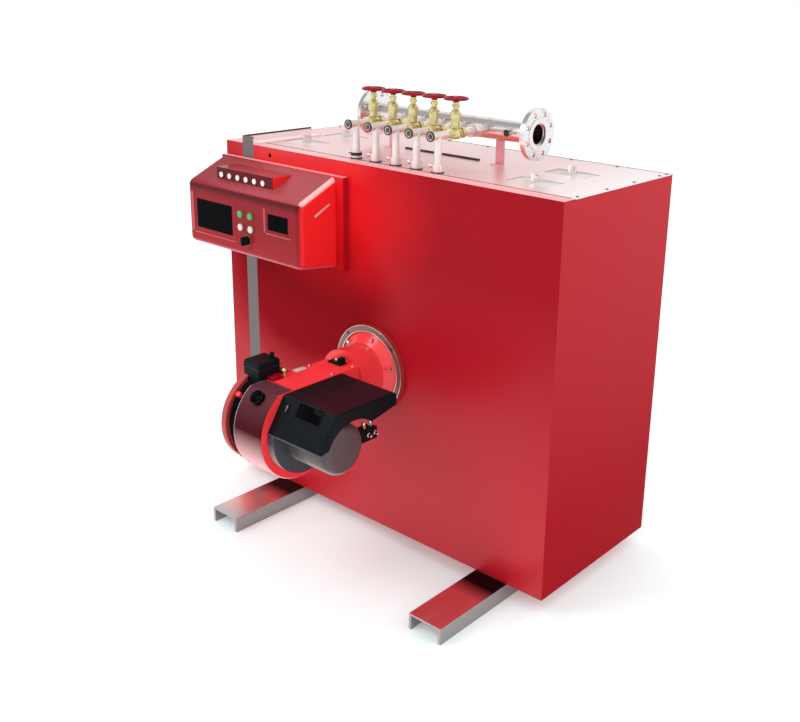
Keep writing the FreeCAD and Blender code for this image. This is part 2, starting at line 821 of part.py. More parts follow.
def make_fittings():
    """The damper actuator on the inlet, the sight glass on the drum and the fuel valve behind the motor."""
    block = start_body()
    plan = new_sketch(block, "XY_Plane")
    draw_polygon(plan, [
        ("0", "0"), ("actuator_width", "0"), ("actuator_width", "actuator_depth"), ("0", "actuator_depth"),
    ])
    pad(block, plan, "actuator_high_up - actuator_up")
    round_edges(block, "actuator_rounding", lambda edge: edge.ZMax > NEAR)
    place(block, f"{FAN_LEFT} - actuator_width - seat_fit", "-actuator_reach - actuator_depth",
          f"{DECK} + actuator_up")
    seats = [round_bar("inlet_radius + seat_fit", f"{FAN_LEFT} - inlet_width", "inlet_width"),
             round_bar("inlet_cover_radius + seat_fit", f"{FAN_LEFT} - inlet_width - inlet_cover_width",
                       "inlet_cover_width")]
    keep(cut(block, *seats), "damper_actuator")
    aim = Rotation(Vector(1, 0, 0), SIZES["sight_turn"])
    barrel = cylinder((f"{FAN_LEFT} + sight_offset", "-fan_reach", FAN_Z), "sight_radius",
                      "fan_radius + sight_length", aim)
    drum = round_bar("fan_radius + seat_fit", FAN_LEFT, "fan_width")
    keep(cut(barrel, drum), "sight_glass")
    end = f"{FAN_RIGHT} + motor_length - motor_rounding"
    valve = box((f"{end} - fuel_valve_width", "-fan_reach", f"{DECK} + fuel_valve_up"),
                (end, "-fuel_valve_reach", f"{DECK} + fuel_valve_up + fuel_valve_height"))
    room = round_bar("motor_radius + seat_fit", FAN_RIGHT, "motor_length", MOTOR_Z)
    keep(cut(valve, room), "fuel_valve")


for skid, spot in (("skid_left", "skid_left_place"), ("skid_right", "skid_right_place")):
    make_skid(skid, spot)
make_cabinet()
make_header()
make_branches()
make_control_box()
make_burner()
DOCUMENT.recompute()


def check():
    """Stops the script where a feature failed or a sub-part isn't a valid solid."""
    for item in DOCUMENT.Objects:
        if "Invalid" in item.State or "Error" in item.State:
            raise RuntimeError(f"{item.Label} ({item.Name}) failed: {item.State}")
    for item in PARTS:
        if item.Shape.isNull() or not item.Shape.isValid() or not item.Shape.Solids:
            raise RuntimeError(f"{item.Label} has no valid solid")


def write():
    """Writes each sub-part to a file of its own."""
    os.makedirs("parts", exist_ok=True)
    for item in PARTS:
        item.Shape.exportStep(os.path.join("parts", f"{item.Label}.step"))
        print(f"{item.Label}: {len(item.Shape.Solids)} solid(s), {item.Shape.Volume / 1e3:.0f} cm3")


check()
write()
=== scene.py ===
"""Finishes and small fittings of a packaged industrial boiler, laid out as a Blender add-on.

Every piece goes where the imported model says. Metres, +Z up, X along the front to the right.
"""

import math

import bmesh
import bpy
from bpy.props import FloatProperty, FloatVectorProperty, PointerProperty
from mathutils import Matrix, Vector


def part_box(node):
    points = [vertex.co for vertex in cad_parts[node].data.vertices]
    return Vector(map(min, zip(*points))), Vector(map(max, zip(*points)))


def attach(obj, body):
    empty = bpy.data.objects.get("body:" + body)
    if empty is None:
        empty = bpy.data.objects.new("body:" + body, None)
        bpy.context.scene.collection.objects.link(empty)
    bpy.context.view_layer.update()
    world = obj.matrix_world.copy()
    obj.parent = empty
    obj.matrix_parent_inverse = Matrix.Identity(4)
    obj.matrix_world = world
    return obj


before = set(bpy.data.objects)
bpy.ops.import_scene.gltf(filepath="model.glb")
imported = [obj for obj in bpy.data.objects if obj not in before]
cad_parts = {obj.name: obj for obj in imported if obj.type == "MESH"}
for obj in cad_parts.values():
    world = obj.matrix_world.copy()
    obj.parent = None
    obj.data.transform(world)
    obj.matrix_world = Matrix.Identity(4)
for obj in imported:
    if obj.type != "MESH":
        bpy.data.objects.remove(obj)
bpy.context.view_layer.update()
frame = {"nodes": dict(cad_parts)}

bl_info = {
    "name": "Packaged Boiler",
    "version": (1, 0, 0),
    "blender": (4, 5, 0),
    "location": "3D View > Sidebar > Boiler",
    "description": "Finishes and small fittings of a packaged industrial boiler",
    "category": "Object",
}

X = Vector((1, 0, 0))
Y = Vector((0, 1, 0))
Z = Vector((0, 0, 1))
MM = 0.001
UNDOABLE = {"REGISTER", "UNDO"}
SHARP_ANGLE = math.radians(35)
WELD_DISTANCE = 0.000005


# ---------------------------------------------------------------- sizes and colours

def length(name, description, millimetres):
    """A length that a user can change, given in millimetres."""
    return FloatProperty(name=name, description=description, default=millimetres * MM, unit="LENGTH")


def colour(name, description, value):
    """A linear colour that a user can change."""
    return FloatVectorProperty(name=name, description=description, default=value,
                               subtype="COLOR", min=0, max=1)


class BoilerColours(bpy.types.PropertyGroup):
    """Colours of the boiler's finishes."""
    sheet: colour("Sheet red", "Powder coat on the cabinet", (0.50, 0.006, 0.016))
    deck: colour("Deck tint", "Pale tint of the bright deck", (0.86, 0.66, 0.66))
    casting: colour("Casting red", "Enamel on the burner", (0.93, 0.046, 0.056))
    control: colour("Control red", "Gloss paint on the control box", (0.80, 0.012, 0.018))
    wheel: colour("Wheel red", "Enamel on the handwheels", (0.29, 0.003, 0.009))
    steel: colour("Bright steel", "Pipes, flanges and skids", (0.82, 0.75, 0.75))
    zinc: colour("Zinc", "Band and latch", (0.185, 0.150, 0.150))
    brass: colour("Brass", "Valves", (0.70, 0.62, 0.30))
    lagging: colour("Lagging", "Cover of the boiler body", (0.70, 0.67, 0.65))
    black: colour("Black", "Hood and housings", (0.004, 0.0055, 0.0065))
    motor: colour("Motor grey", "Motor and shroud", (0.092, 0.058, 0.062))
    green: colour("Green", "Start buttons", (0.026, 0.30, 0.055))
    # The duct's plate is a painted highlight.
    white: colour("White", "Stop buttons and the duct's plate", (0.60, 0.55, 0.51))
    lamp: colour("Lamp", "Lamp caps", (0.86, 0.72, 0.74))
    bronze: colour("Bronze", "Burner ring, bezels and deck screws", (0.26, 0.13, 0.11))


class BoilerSizes(bpy.types.PropertyGroup):
    """Sizes of the small fittings."""
    screw: length("Screw", "Radius of a sheet screw's head", 4.5)
    screw_pitch: length("Screw pitch", "Distance between sheet screws", 190)
    screw_edge: length("Screw edge", "Distance of the screws from a sheet's edge", 16)
    seam: length("Seam", "Width of a joint between sheets", 4.0)
    weld: length("Weld", "Radius of a weld bead", 2.6)
    bolt: length("Bolt", "Radius of a bolt's head to its corners", 7)
    seal: length("Seal", "Depth of a rubber seal in a branch's mouth", 7)
    frame: length("Display frame", "Width of the frame round a display", 6)
    window: length("Window", "Length of the window in the hood", 105)


class BoilerStage(bpy.types.PropertyGroup):
    """Floor, lights and camera."""
    floor: colour("Floor", "Pale floor", (0.84, 0.95, 0.955))
    sky: FloatProperty(name="Sky", description="Strength of the even light", default=1.0)
    key: FloatProperty(name="Key", description="Power of the main soft light", default=34, unit="POWER")
    fill: FloatProperty(name="Fill", description="Power of the side light", default=16, unit="POWER")
    lens: FloatProperty(name="Lens", description="Focal length in millimetres", default=45.9)
    azimuth: FloatProperty(name="Azimuth", description="Camera's turn in degrees", default=39.95)
    elevation: FloatProperty(name="Elevation", description="Camera's drop in degrees", default=17.27)
    roll: FloatProperty(name="Roll", description="Camera's roll in degrees", default=1.41)


def tint(name):
    """A colour from the add-on's settings."""
    return tuple(getattr(bpy.context.scene.boiler_colours, name))


def sizes():
    """The add-on's sizes."""
    return bpy.context.scene.boiler_sizes


def shade(base, *factors):
    """A colour made lighter or darker, by one factor or by one for each channel."""
    if len(factors) == 1:
        factors = factors * 3
    return tuple(min(1.0, part * factor) for part, factor in zip(base, factors))


# ---------------------------------------------------------------- shader maths

class Number:
    """A socket that carries a number, for use in Python expressions."""

    def __init__(self, finish, socket):
        self.finish = finish
        self.socket = socket

    def _math(self, operation, *values):
        node = self.finish.node("ShaderNodeMath", {"operation": operation}, *values)
        return Number(self.finish, node.outputs[0])

    def __add__(self, other):
        return self._math("ADD", self, other)

    def __radd__(self, other):
        return self._math("ADD", other, self)

    def __sub__(self, other):
        return self._math("SUBTRACT", self, other)

    def __rsub__(self, other):
        return self._math("SUBTRACT", other, self)

    def __mul__(self, other):
        return self._math("MULTIPLY", self, other)

    def __rmul__(self, other):
        return self._math("MULTIPLY", other, self)

    def __truediv__(self, other):
        return self._math("DIVIDE", self, other)

    def __rtruediv__(self, other):
        return self._math("DIVIDE", other, self)

    def clamp(self):
        """The number kept between 0 and 1."""
        node = self.finish.node("ShaderNodeClamp", {}, self)
        return Number(self.finish, node.outputs[0])

    def step(self, start, end):
        """0 at the start, 1 at the end and a straight change between them."""
        return ((self - start) * (1 / (end - start))).clamp()


class Finish:
    """A material with one Principled shader, and the nodes that feed it."""

    def __init__(self, name, base, roughness, metallic=0.0, coat=0.0, coat_roughness=0.06, specular=0.5):
        if name in bpy.data.materials:
            raise ValueError(f"a material named {name} exists already")
        self.material = bpy.data.materials.new(name)
        self.material.use_nodes = True
        self.tree = self.material.node_tree
        self.shader = self.tree.nodes["Principled BSDF"]
        self.place = self.node("ShaderNodeTexCoord", {}).outputs["Object"]
        self.set("Base Color", (*base, 1.0))
        self.set("Roughness", roughness)
        self.set("Metallic", metallic)
        self.set("Coat Weight", coat)
        self.set("Coat Roughness", coat_roughness)
        self.set("Specular IOR Level", specular)

    def node(self, kind, settings, *inputs, **named):
        """Adds a node: its settings first, then its inputs by order or by name."""
        node = self.tree.nodes.new(kind)
        for name, value in settings.items():
            setattr(node, name, value)
        for socket, value in zip(node.inputs, inputs):
            self._feed(socket, value)
        for name, value in named.items():
            self._feed(node.inputs[name], value)
        return node

    def _feed(self, socket, value):
        """Links a socket to a value that varies, or sets it to one that doesn't."""
        if isinstance(value, Number):
            value = value.socket
        if isinstance(value, bpy.types.NodeSocket):
            self.tree.links.new(value, socket)
        else:
            socket.default_value = value

    def set(self, socket, value):
        """Sets or links one of the shader's own sockets."""
        self._feed(self.shader.inputs[socket], value)

    def noise(self, scale, detail=2.0, stretch=None):
        """A soft random pattern, from 0 to 1, drawn out along an axis where stretch says so."""
        place = self.place
        if stretch:
            place = self.node("ShaderNodeMapping", {}, place, Scale=stretch).outputs[0]
        node = self.node("ShaderNodeTexNoise", {}, Vector=place, Scale=scale, Detail=detail)
        return Number(self, node.outputs["Fac"])

    def facing(self, axis):
        """How far the surface faces an axis, from -1 to 1."""
        normal = self.node("ShaderNodeNewGeometry", {}).outputs["Normal"]
        parts = self.node("ShaderNodeSeparateXYZ", {}, normal)
        return Number(self, parts.outputs[axis])

    def along(self, axis):
        """The place along an axis, in metres."""
        parts = self.node("ShaderNodeSeparateXYZ", {}, self.place)
        return Number(self, parts.outputs[axis])

    def spot(self, centre, reach):
        """1 at a place and falling to 0 at a reach along each axis."""
        moved = self.node("ShaderNodeVectorMath", {"operation": "SUBTRACT"}, self.place, centre)
        scaled = self.node("ShaderNodeVectorMath", {"operation": "DIVIDE"}, moved.outputs[0], reach)
        far = self.node("ShaderNodeVectorMath", {"operation": "LENGTH"}, scaled.outputs[0])
        return (1 - Number(self, far.outputs["Value"])).clamp()

    def blend(self, factor, first, second):
        """A colour between two colours."""
        node = self.node("ShaderNodeMix", {"data_type": "RGBA"}, factor)
        for name, value in (("A", first), ("B", second)):
            socket = next(item for item in node.inputs if item.name == name and item.type == "RGBA")
            self._feed(socket, (*value, 1.0) if isinstance(value, tuple) else value)
        return next(item for item in node.outputs if item.type == "RGBA")

    def clouds(self, base, amount, scale):
        """The base colour, lighter and darker by an amount in soft clouds."""
        return self.blend(self.noise(scale), shade(base, 1 - amount), shade(base, 1 + amount))

    def rough(self, least, spread, scale, detail=2.0, stretch=None):
        """Lets the roughness wander from its least value over a spread."""
        self.set("Roughness", self.noise(scale, detail, stretch) * spread + least)

    def grain(self, scale, depth, strength, detail=2.0, stretch=None, edge=0.0):
        """Raises a fine grain, and rounds the edges in the shading where edge gives a radius."""
        inputs = {"Strength": strength, "Distance": depth, "Height": self.noise(scale, detail, stretch)}
        if edge:
            inputs["Normal"] = self.node("ShaderNodeBevel", {"samples": 4}, Radius=edge).outputs[0]
        self.set("Normal", self.node("ShaderNodeBump", {}, **inputs).outputs[0])


# ---------------------------------------------------------------- finishes

def sheet_red():
    """Powder coat with a faint orange peel, and painted light and shade. The red is darker high up on the
    front and on the right side, most of all low on that side. There is a painted patch of light and a lit
    band upper left on the front, a painted shadow under the control box, and a painted pink sheen on faces
    that look up. Glossier below.
    """
    base = tint("sheet")
    paint = Finish("sheet_red", base, 0.30, specular=0.015, coat_roughness=0.35)
    # A painted shaded copy of the red, a painted lit copy, and a painted pink sheen for faces that look up.
    shaded_red = shade(base, 0.48)
    bright = shade(base, 1.40, 1.5, 0.75)
    lip_sheen = shade(base, 1.8, 70, 27)
    # Painted light: a patch of light and a lit band high on the front. Painted shadow: under the control box.
    # All three fade out before the back panel.
    painted_light_spot = paint.spot((-0.22, 0.02, 1.30), (0.55, 0.5, 0.40))
    brow = paint.spot((-0.45, 0.02, 1.47), (0.50, 0.5, 0.14))
    painted_shadow_spot = paint.spot((-0.36, 0.02, 0.88), (0.54, 0.5, 0.42))
    # Painted shade: darker high up on the front and plain towards its foot; on the right side, darker towards
    # the bottom.
    low = paint.along("Z").step(1.15, 0.25)
    side = paint.facing("X").step(0.5, 0.9)
    front = 1 - side
    height = paint.along("Z") / 1.46
    painted_shade_depth = (0.60 - low * 0.70 + painted_shadow_spot * 1.2 + paint.noise(1.7) * 0.12).clamp() * front
    red = paint.blend(painted_shade_depth + side * (0.66 - height * 0.50), base, shaded_red)
    red = paint.blend((painted_light_spot * 1.4 + brow).clamp() * front, red, bright)
    lip = paint.facing("Z").step(0.75, 0.95)
    paint.set("Base Color", paint.blend(lip, red, lip_sheen))
    front_coat = (low * 0.74 + 0.12 + brow * 0.9 - painted_shadow_spot).clamp() * front
    paint.set("Coat Weight", front_coat + side * (height * 0.44 - 0.10).clamp())
    paint.rough(least=0.26, spread=0.10, scale=5.0, detail=4.0)
    paint.grain(scale=420.0, depth=0.05 * MM, strength=0.4, edge=2.2 * MM)


def deck_metal():
    """The bright deck: pale satin sheet with a painted reflection of the red round it. It is pinker in soft
    patches and towards the left, whiter at the right end, with redder brackets.
    """
    pale = tint("deck")
    metal = Finish("deck_metal", pale, 0.36, metallic=0.75, coat=0.1, coat_roughness=0.3)
    bracket = (0.78, 0.36, 0.41)
    palest = (0.93, 0.84, 0.86)
    # Painted reflection of the red round the deck, in soft patches, fading towards the right.
    paleness = metal.noise(2.2) * 0.6 + metal.along("X").step(-0.9, 0.8) * 0.5
    face = metal.blend(paleness, shade(pale, 1.0, 0.80, 0.80), pale)
    face = metal.blend(metal.along("X").step(0.40, 0.80), face, palest)
    above_deck = metal.along("Z").step(1.462, 1.466)
    metal.set("Base Color", metal.blend(above_deck, face, bracket))
    metal.rough(least=0.28, spread=0.16, scale=9.0, detail=4.0)
    metal.grain(scale=60.0, depth=0.05 * MM, strength=0.35, stretch=(1, 14, 14), edge=1.5 * MM)


def casting(name, roughness, coat, specular):
    """Gloss enamel over a casting: a soft roll in the surface and a clear coat."""
    paint = Finish(name, tint("casting"), roughness, coat=coat, specular=specular)
    paint.rough(least=0.18, spread=0.12, scale=30.0, detail=3.0)
    paint.grain(scale=85.0, depth=0.25 * MM, strength=0.3, detail=3.0, edge=3.0 * MM)
    red = paint.clouds(tint("casting"), 0.10, 14.0)
    paint.set("Base Color", red)
    return paint, red


def casting_red():
    """Enamel of the burner's head."""
    casting("casting_red", 0.22, coat=0.3, specular=0.3)


def drum_red():
    """The fan drum's enamel, with painted reflection on its round front. It is a painted dark maroon high up,
    carried onto the front of the duct's flat top, with a painted pale reflection of the floor towards its
    underside and a painted highlight on its light left rim.
    """
    paint, red = casting("drum_red", 0.20, coat=0.01, specular=0.03)
    # Painted shade and reflection: dark maroon, a little lighter highest up, a pale reflection of the floor
    # lower down, and a highlight on the left rim.
    maroon = (0.058, 0.003, 0.006)
    dust_and_shade = (0.110, 0.029, 0.039)
    pale = (0.95, 0.50, 0.52)
    rim_highlight = (0.95, 0.74, 0.80)
    painted_reflection_band = paint.blend(paint.along("Z").step(0.66, 0.75), maroon, dust_and_shade)
    painted_reflection_band = paint.blend(paint.along("Z").step(0.645, 0.52), painted_reflection_band, pale)
    rim = paint.along("X").step(-0.0520, -0.0535)
    painted_reflection_band = paint.blend(rim * 0.85, painted_reflection_band, rim_highlight)
    # The painted band covers the drum's front and the front part of the duct's flat top.
    front = paint.facing("Y").step(-0.05, -0.25)
    flat_top = paint.facing("Z").step(0.6, 0.9) * paint.along("Y").step(-0.485, -0.500)
    paint.set("Base Color", paint.blend((front + flat_top).clamp(), red, painted_reflection_band))


def moulded_red():
    """Gloss moulding of the control box, brighter on its side and its rounded edge, in painted light and
    shade. The front face is shaded and grows lighter towards its foot. The slope has a pink sheen that grows
    towards the right. There is a painted shadow under the slope's lower edge, a painted highlight on the
    bottom edge, a lit side, and a painted highlight on the rounded edge.
    """
    base = tint("control")
    paint = Finish("moulded_red", base, 0.26, coat=0.02, specular=0.10)
    # Painted copies of the red: shaded for the front, a pink sheen for the slope, a highlight for the rounded
    # edge, lit for the side, and a highlight for the bottom edge.
    painted_dark_tone = shade(base, 0.31, 1.0, 1.0)
    pale = shade(base, 0.46, 4.5, 3.6)
    bright = shade(base, 1.15, 45, 30)
    lit_side_red = shade(base, 1.16, 1.7, 1.3)
    foot_highlight = shade(base, 0.75, 12, 9)
    side = paint.facing("X").step(0.55, 0.9)
    slope = paint.facing("Z").step(0.30, 0.60)
    edge = (paint.facing("X") * paint.facing("Z")).step(0.22, 0.42)
    # Painted shadow under the slope's lower edge.
    brow = paint.along("Z").step(1.285, 1.305) * (1 - slope)
    foot = (0 - paint.facing("Z")).step(0.30, 0.60)
    flat = paint.blend(paint.along("Z").step(1.20, 1.07), paint.clouds(painted_dark_tone, 0.04, 6.0), shade(painted_dark_tone, 1.45))
    top = paint.blend(paint.along("X").step(-0.74, -0.44), painted_dark_tone, pale)
    face = paint.blend(slope, flat, top)
    face = paint.blend(brow * 0.85, face, shade(painted_dark_tone, 0.3))
    face = paint.blend(foot, face, foot_highlight)
    paint.set("Base Color", paint.blend(edge, paint.blend(side, face, lit_side_red), bright))
    paint.rough(least=0.25, spread=0.06, scale=12.0, detail=4.0)
    paint.grain(scale=500.0, depth=0.03 * MM, strength=0.3)


def wheel_red():
    """Thick enamel on cast iron."""
    paint = Finish("wheel_red", tint("wheel"), 0.34, coat=0.05, specular=0.12)
    paint.set("Base Color", paint.clouds(tint("wheel"), 0.25, 60.0))
    paint.grain(scale=240.0, depth=0.3 * MM, strength=0.5, detail=3.0)


def bright_steel():
    """Bright drawn pipe, with the fine lines of drawing and a little stain, a painted red reflection
    underneath, and a painted dark reflection band on its upper shoulder.
    """
    bright = tint("steel")
    metal = Finish("bright_steel", bright, 0.22, metallic=1.0)
    painted_dark_tone = (0.2542, 0.2542, 0.2542)
    reflected_red = (1.0, 0.36, 0.28)
    stain = metal.noise(26.0, 5.0).step(0.52, 0.78)
    # Painted dark reflection band on the upper shoulder, and painted red reflection underneath.
    shoulder = metal.facing("Z").step(0.15, 0.35) * (1 - metal.facing("Z").step(0.80, 0.92))
    under = metal.facing("Z").step(-0.12, -0.50)
    face = metal.blend(stain, bright, shade(bright, 0.74))
    face = metal.blend(shoulder * 0.8, face, painted_dark_tone)
    metal.set("Base Color", metal.blend(under * 0.9, face, reflected_red))
    metal.set("Roughness", metal.noise(160.0, 2.0, (0.06, 1, 1)) * 0.16 + stain * 0.10 + 0.12)
    metal.grain(scale=420.0, depth=0.04 * MM, strength=0.5, stretch=(0.05, 1, 1), edge=1.2 * MM)


def pale_steel():
    """Bright tube of the branches: pale all round, with a painted red reflection underneath and painted shade
    on its left.
    """
    pale = shade(tint("steel"), 1.02, 0.99, 0.97)
    metal = Finish("pale_steel", pale, 0.30, metallic=0.55)
    reflected_red = (0.94, 0.40, 0.34)
    stain = metal.noise(26.0, 5.0).step(0.52, 0.78)
    # Painted shade on the side that faces left, and painted red reflection underneath.
    left = (0 - metal.facing("X")).step(0.35, 0.85)
    under = metal.facing("Z").step(0.0, -0.55)
    face = metal.blend(stain, pale, shade(pale, 0.86))
    face = metal.blend(left * 0.8, face, shade(pale, 0.40))
    metal.set("Base Color", metal.blend(under * 0.85, face, reflected_red))
    metal.set("Roughness", metal.noise(40.0, 3.0) * 0.10 + stain * 0.10 + 0.24)
    metal.grain(scale=300.0, depth=0.02 * MM, strength=0.3, edge=1.2 * MM)


def zinc():
    """Galvanised sheet: a soft spangle and a rolled grain."""
    base = tint("zinc")
    metal = Finish("zinc", base, 0.34, metallic=0.85)
    cells = metal.node("ShaderNodeTexVoronoi", {"feature": "F1"}, Vector=metal.place, Scale=70.0)
    spangle = Number(metal, cells.outputs["Distance"])
    metal.set("Base Color", metal.blend(spangle * 0.7 + metal.noise(8.0) * 0.4, shade(base, 1.28), base))
    metal.set("Roughness", spangle * 0.14 + 0.26)
    metal.grain(scale=300.0, depth=0.06 * MM, strength=0.6, detail=3.0, edge=1.5 * MM)


def band_metal():
    """The band: grey on its front, and painted bright on its upright leg and flat top in the deck's pale tint
    as painted light, with a dark edge on top.
    """
    base = tint("zinc")
    metal = Finish("band_metal", base, 0.34, metallic=0.8)
    dark_top_edge = (0.02, 0.018, 0.02)
    leg = metal.facing("X").step(0.6, 0.9)
    top = metal.facing("Z").step(0.6, 0.9)
    metal.set("Metallic", 0.8 - (leg + top).clamp() * 0.8)
    top_edge = (metal.facing("Z") + metal.facing("X")).step(0.4, 0.7) * metal.along("Z").step(1.481, 1.485)
    flat = top * metal.along("Z").step(1.480, 1.475)
    face = metal.blend(metal.noise(30.0, 3.0), base, shade(base, 0.82))
    # Painted light: the upright leg and the flat top take the deck's pale tint, lit as the deck is.
    face = metal.blend((leg + flat).clamp(), face, shade(tint("deck"), 1.12))
    metal.set("Base Color", metal.blend(top_edge, face, dark_top_edge))
    metal.rough(least=0.26, spread=0.14, scale=40.0, detail=3.0)
    metal.grain(scale=300.0, depth=0.06 * MM, strength=0.6, detail=3.0, edge=1.0 * MM)


def polished():
    """Rolled section polished on its top, with a painted reflection of the front on it. The reflection is
    near black next to the cabinet, greyer at the left skid's end and pinker on the right skid. There is
    painted shade on its webs.
    """
    bright = tint("steel")
    metal = Finish("polished", bright, 0.12, metallic=1.0)
    left_mirror = (0.95, 0.50, 0.48)
    right_mirror = (1.0, 0.74, 0.74)
    left_end = (0.58, 0.53, 0.53)
    top = metal.facing("Z").step(0.6, 0.95)
    # Painted reflection of the cabinet's dark underside, next to the cabinet.
    under = metal.along("Y").step(-0.185, -0.105) * top
    right = metal.along("X").step(-0.2, 0.2)
    end = metal.along("Y").step(-0.29, -0.37) * (1 - right)
    mirror = metal.blend(end, metal.blend(right, left_mirror, right_mirror), left_end)
    # Painted shade on the webs, darker on those that face right.
    web = metal.blend(metal.facing("X").step(0.5, 0.9), shade(bright, 0.55), shade(bright, 0.42))
    metal.set("Base Color", metal.blend(under, metal.blend(top, web, mirror), shade(bright, 0.02)))
    metal.rough(least=0.24, spread=0.14, scale=40.0, detail=4.0, stretch=(1, 0.05, 1))
    metal.grain(scale=300.0, depth=0.03 * MM, strength=0.4, stretch=(1, 0.04, 1), edge=2.0 * MM)


def brass():
    """Cast brass: yellow, slightly rough, darker in patches."""
    base = tint("brass")
    metal = Finish("brass", base, 0.26, metallic=0.75)
    patina = metal.noise(70.0, 5.0).step(0.50, 0.80)
    metal.set("Base Color", metal.blend(patina, base, shade(base, 0.62, 0.52, 0.45)))
    metal.set("Roughness", patina * 0.2 + 0.20)
    metal.grain(scale=520.0, depth=0.25 * MM, strength=0.5, detail=3.0, edge=1.0 * MM)


def lagging():
    """Cover of the insulated body: matt, finely woven."""
    cloth = Finish("lagging", tint("lagging"), 0.75)
    cloth.set("Base Color", cloth.clouds(tint("lagging"), 0.18, 30.0))
    cloth.grain(scale=700.0, depth=0.4 * MM, strength=0.8)


def black_gloss():
    """Black moulding with a fine leather grain, with a painted reddish sheen on the hood's top."""
    base = tint("black")
    plastic = Finish("black_gloss", base, 0.30, specular=0.06)
    painted_reddish_sheen = (0.026, 0.008, 0.013)
    # Painted reddish sheen on the faces of the hood's top that look up.
    hood_top = plastic.facing("Z").step(0.85, 0.98) * plastic.along("X").step(0.10, 0.24)
    dust_and_shade = plastic.blend(plastic.noise(9.0, 4.0), base, shade(base, 2.0))
    plastic.set("Base Color", plastic.blend(hood_top, dust_and_shade, painted_reddish_sheen))
    plastic.rough(least=0.25, spread=0.06, scale=18.0, detail=4.0)
    plastic.grain(scale=1100.0, depth=0.08 * MM, strength=0.2, edge=4.0 * MM)


def black_glass():
    """The dark face of a switched-off display."""
    glass = Finish("black_glass", (0.001, 0.001, 0.001), 0.05, specular=0.02)
    smear = glass.noise(7.0, 4.0, (1, 1, 3))
    glass.set("Base Color", glass.blend(smear, (0.0005, 0.0005, 0.0008), (0.0016, 0.0016, 0.0022)))
    glass.set("Roughness", smear * 0.08 + 0.03)


def rubber():
    """Black rubber of seals."""
    black = (0.012, 0.012, 0.013)
    soft = Finish("rubber", black, 0.55)
    soft.set("Base Color", soft.clouds(black, 0.4, 90.0))
    soft.grain(scale=800.0, depth=0.1 * MM, strength=0.6)


def enamel(name, base, start):
    """Enamel with a soft sheen and painted light from the floor, paler where it faces the floor by more than
    a start.
    """
    paint = Finish(name, base, 0.32, coat=0.1, specular=0.3)
    floor_light = (0.46, 0.43, 0.44)
    below = (0 - paint.facing("Z")).step(start, start + 0.5)
    paint.set("Base Color", paint.blend(below * 0.8, paint.clouds(base, 0.14, 12.0), floor_light))
    paint.rough(least=0.26, spread=0.14, scale=24.0, detail=4.0)
    paint.grain(scale=500.0, depth=0.12 * MM, strength=0.5, edge=2.0 * MM)


def enamel_grey():
    """Warm grey of the motor."""
    enamel("enamel_grey", tint("motor"), 0.4)


def slate():
    """Cool grey of the motor's shroud."""
    enamel("slate", shade(tint("motor"), 0.50, 0.90, 1.10), 0.0)


def cover_red():
    """Duller enamel of the fan's inlet cover."""
    enamel("cover_red", shade(tint("casting"), 0.50, 1.1, 1.0), 0.5)


def bronze():
    """Dull bronze-brown metal with a painted reflection of the red behind it on its edges, below the deck."""
    base = tint("bronze")
    metal = Finish("bronze", base, 0.38, metallic=0.7)
    reflected_red = (0.62, 0.085, 0.090)
    # Painted reflection of the red on front-facing parts below the deck.
    edge = metal.facing("Y").step(-0.6, -0.3) * metal.along("Z").step(1.35, 1.25)
    metal.set("Base Color", metal.blend(edge * 0.8, metal.clouds(base, 0.3, 24.0), reflected_red))
    metal.rough(least=0.28, spread=0.2, scale=60.0, detail=4.0)
    metal.grain(scale=380.0, depth=0.1 * MM, strength=0.5, detail=3.0, edge=1.2 * MM)


def cap(name, base, glow):
    """A moulded cap of a button or a lamp, with a little light in it: a painted glow where it is no lamp."""
    plastic = Finish(name, base, 0.22, coat=0.4)
    plastic.set("Base Color", plastic.clouds(base, 0.10, 120.0))
    plastic.set("Emission Color", (*base, 1.0))
    plastic.set("Emission Strength", glow)
    plastic.grain(scale=900.0, depth=0.05 * MM, strength=0.5)


def caps():
    """Start buttons, stop buttons and lamps; the buttons glow a little as painted light, though they are no
    lamps.
    """
    cap("green_cap", tint("green"), 0.10)
    cap("white_cap", tint("white"), 0.05)
    cap("lamp_cap", tint("lamp"), 0.10)


def dark_gap():
    """The shade inside a joint or a bolt hole."""
    dark = (0.030, 0.020, 0.022)
    gap = Finish("dark_gap", dark, 0.6)
    gap.set("Base Color", gap.clouds(dark, 0.3, 40.0))


FINISHES = (
    sheet_red, deck_metal, casting_red, cover_red, drum_red, moulded_red, wheel_red, bright_steel,
    pale_steel, zinc, band_metal, polished, brass, lagging, black_gloss, black_glass, rubber,
    enamel_grey, slate, bronze, caps, dark_gap,
)

NODE_FINISH = {
    "sheet_red": ("front_panel", "front_panel_left", "back_panel", "end_panel_left", "end_panel_right",
                  "base_plate", "control_back_plate"),
    "deck_metal": ("top_panel", "header_brackets"),
    "casting_red": ("burner_head",),
    "cover_red": ("inlet_cover",),
    "drum_red": ("fan_housing",),
    "moulded_red": ("control_cover", "lamp_ledge"),
    "wheel_red": tuple(f"handwheel_{number}" for number in range(1, 6)),
    "bright_steel": ("header_pipe", "header_flange_left", "header_flange_right", "header_socket"),
    "pale_steel": ("risers", "riser_collars", "pipe_unions", "lifting_lugs"),
    "band_metal": ("steel_band",),
    "polished": ("skid_left", "skid_right"),
    "brass": ("gate_valves",),
    "lagging": ("boiler_body",),
    "black_gloss": ("burner_hood", "damper_actuator", "selector_knob", "air_inlet", "fuel_valve"),
    "black_glass": ("main_display", "meter_display", "sight_glass"),
    "enamel_grey": ("fan_motor",),
    "slate": ("motor_shroud",),
    "bronze": ("burner_ring",),
    "green_cap": ("green_buttons",),
    "white_cap": ("white_buttons",),
    "lamp_cap": ("indicator_lamps",),
}


# ---------------------------------------------------------------- making pieces

def turn_to(axis):
    """The turn from +Z to an axis."""
    return Z.rotation_difference(Vector(axis)).to_matrix().to_4x4()


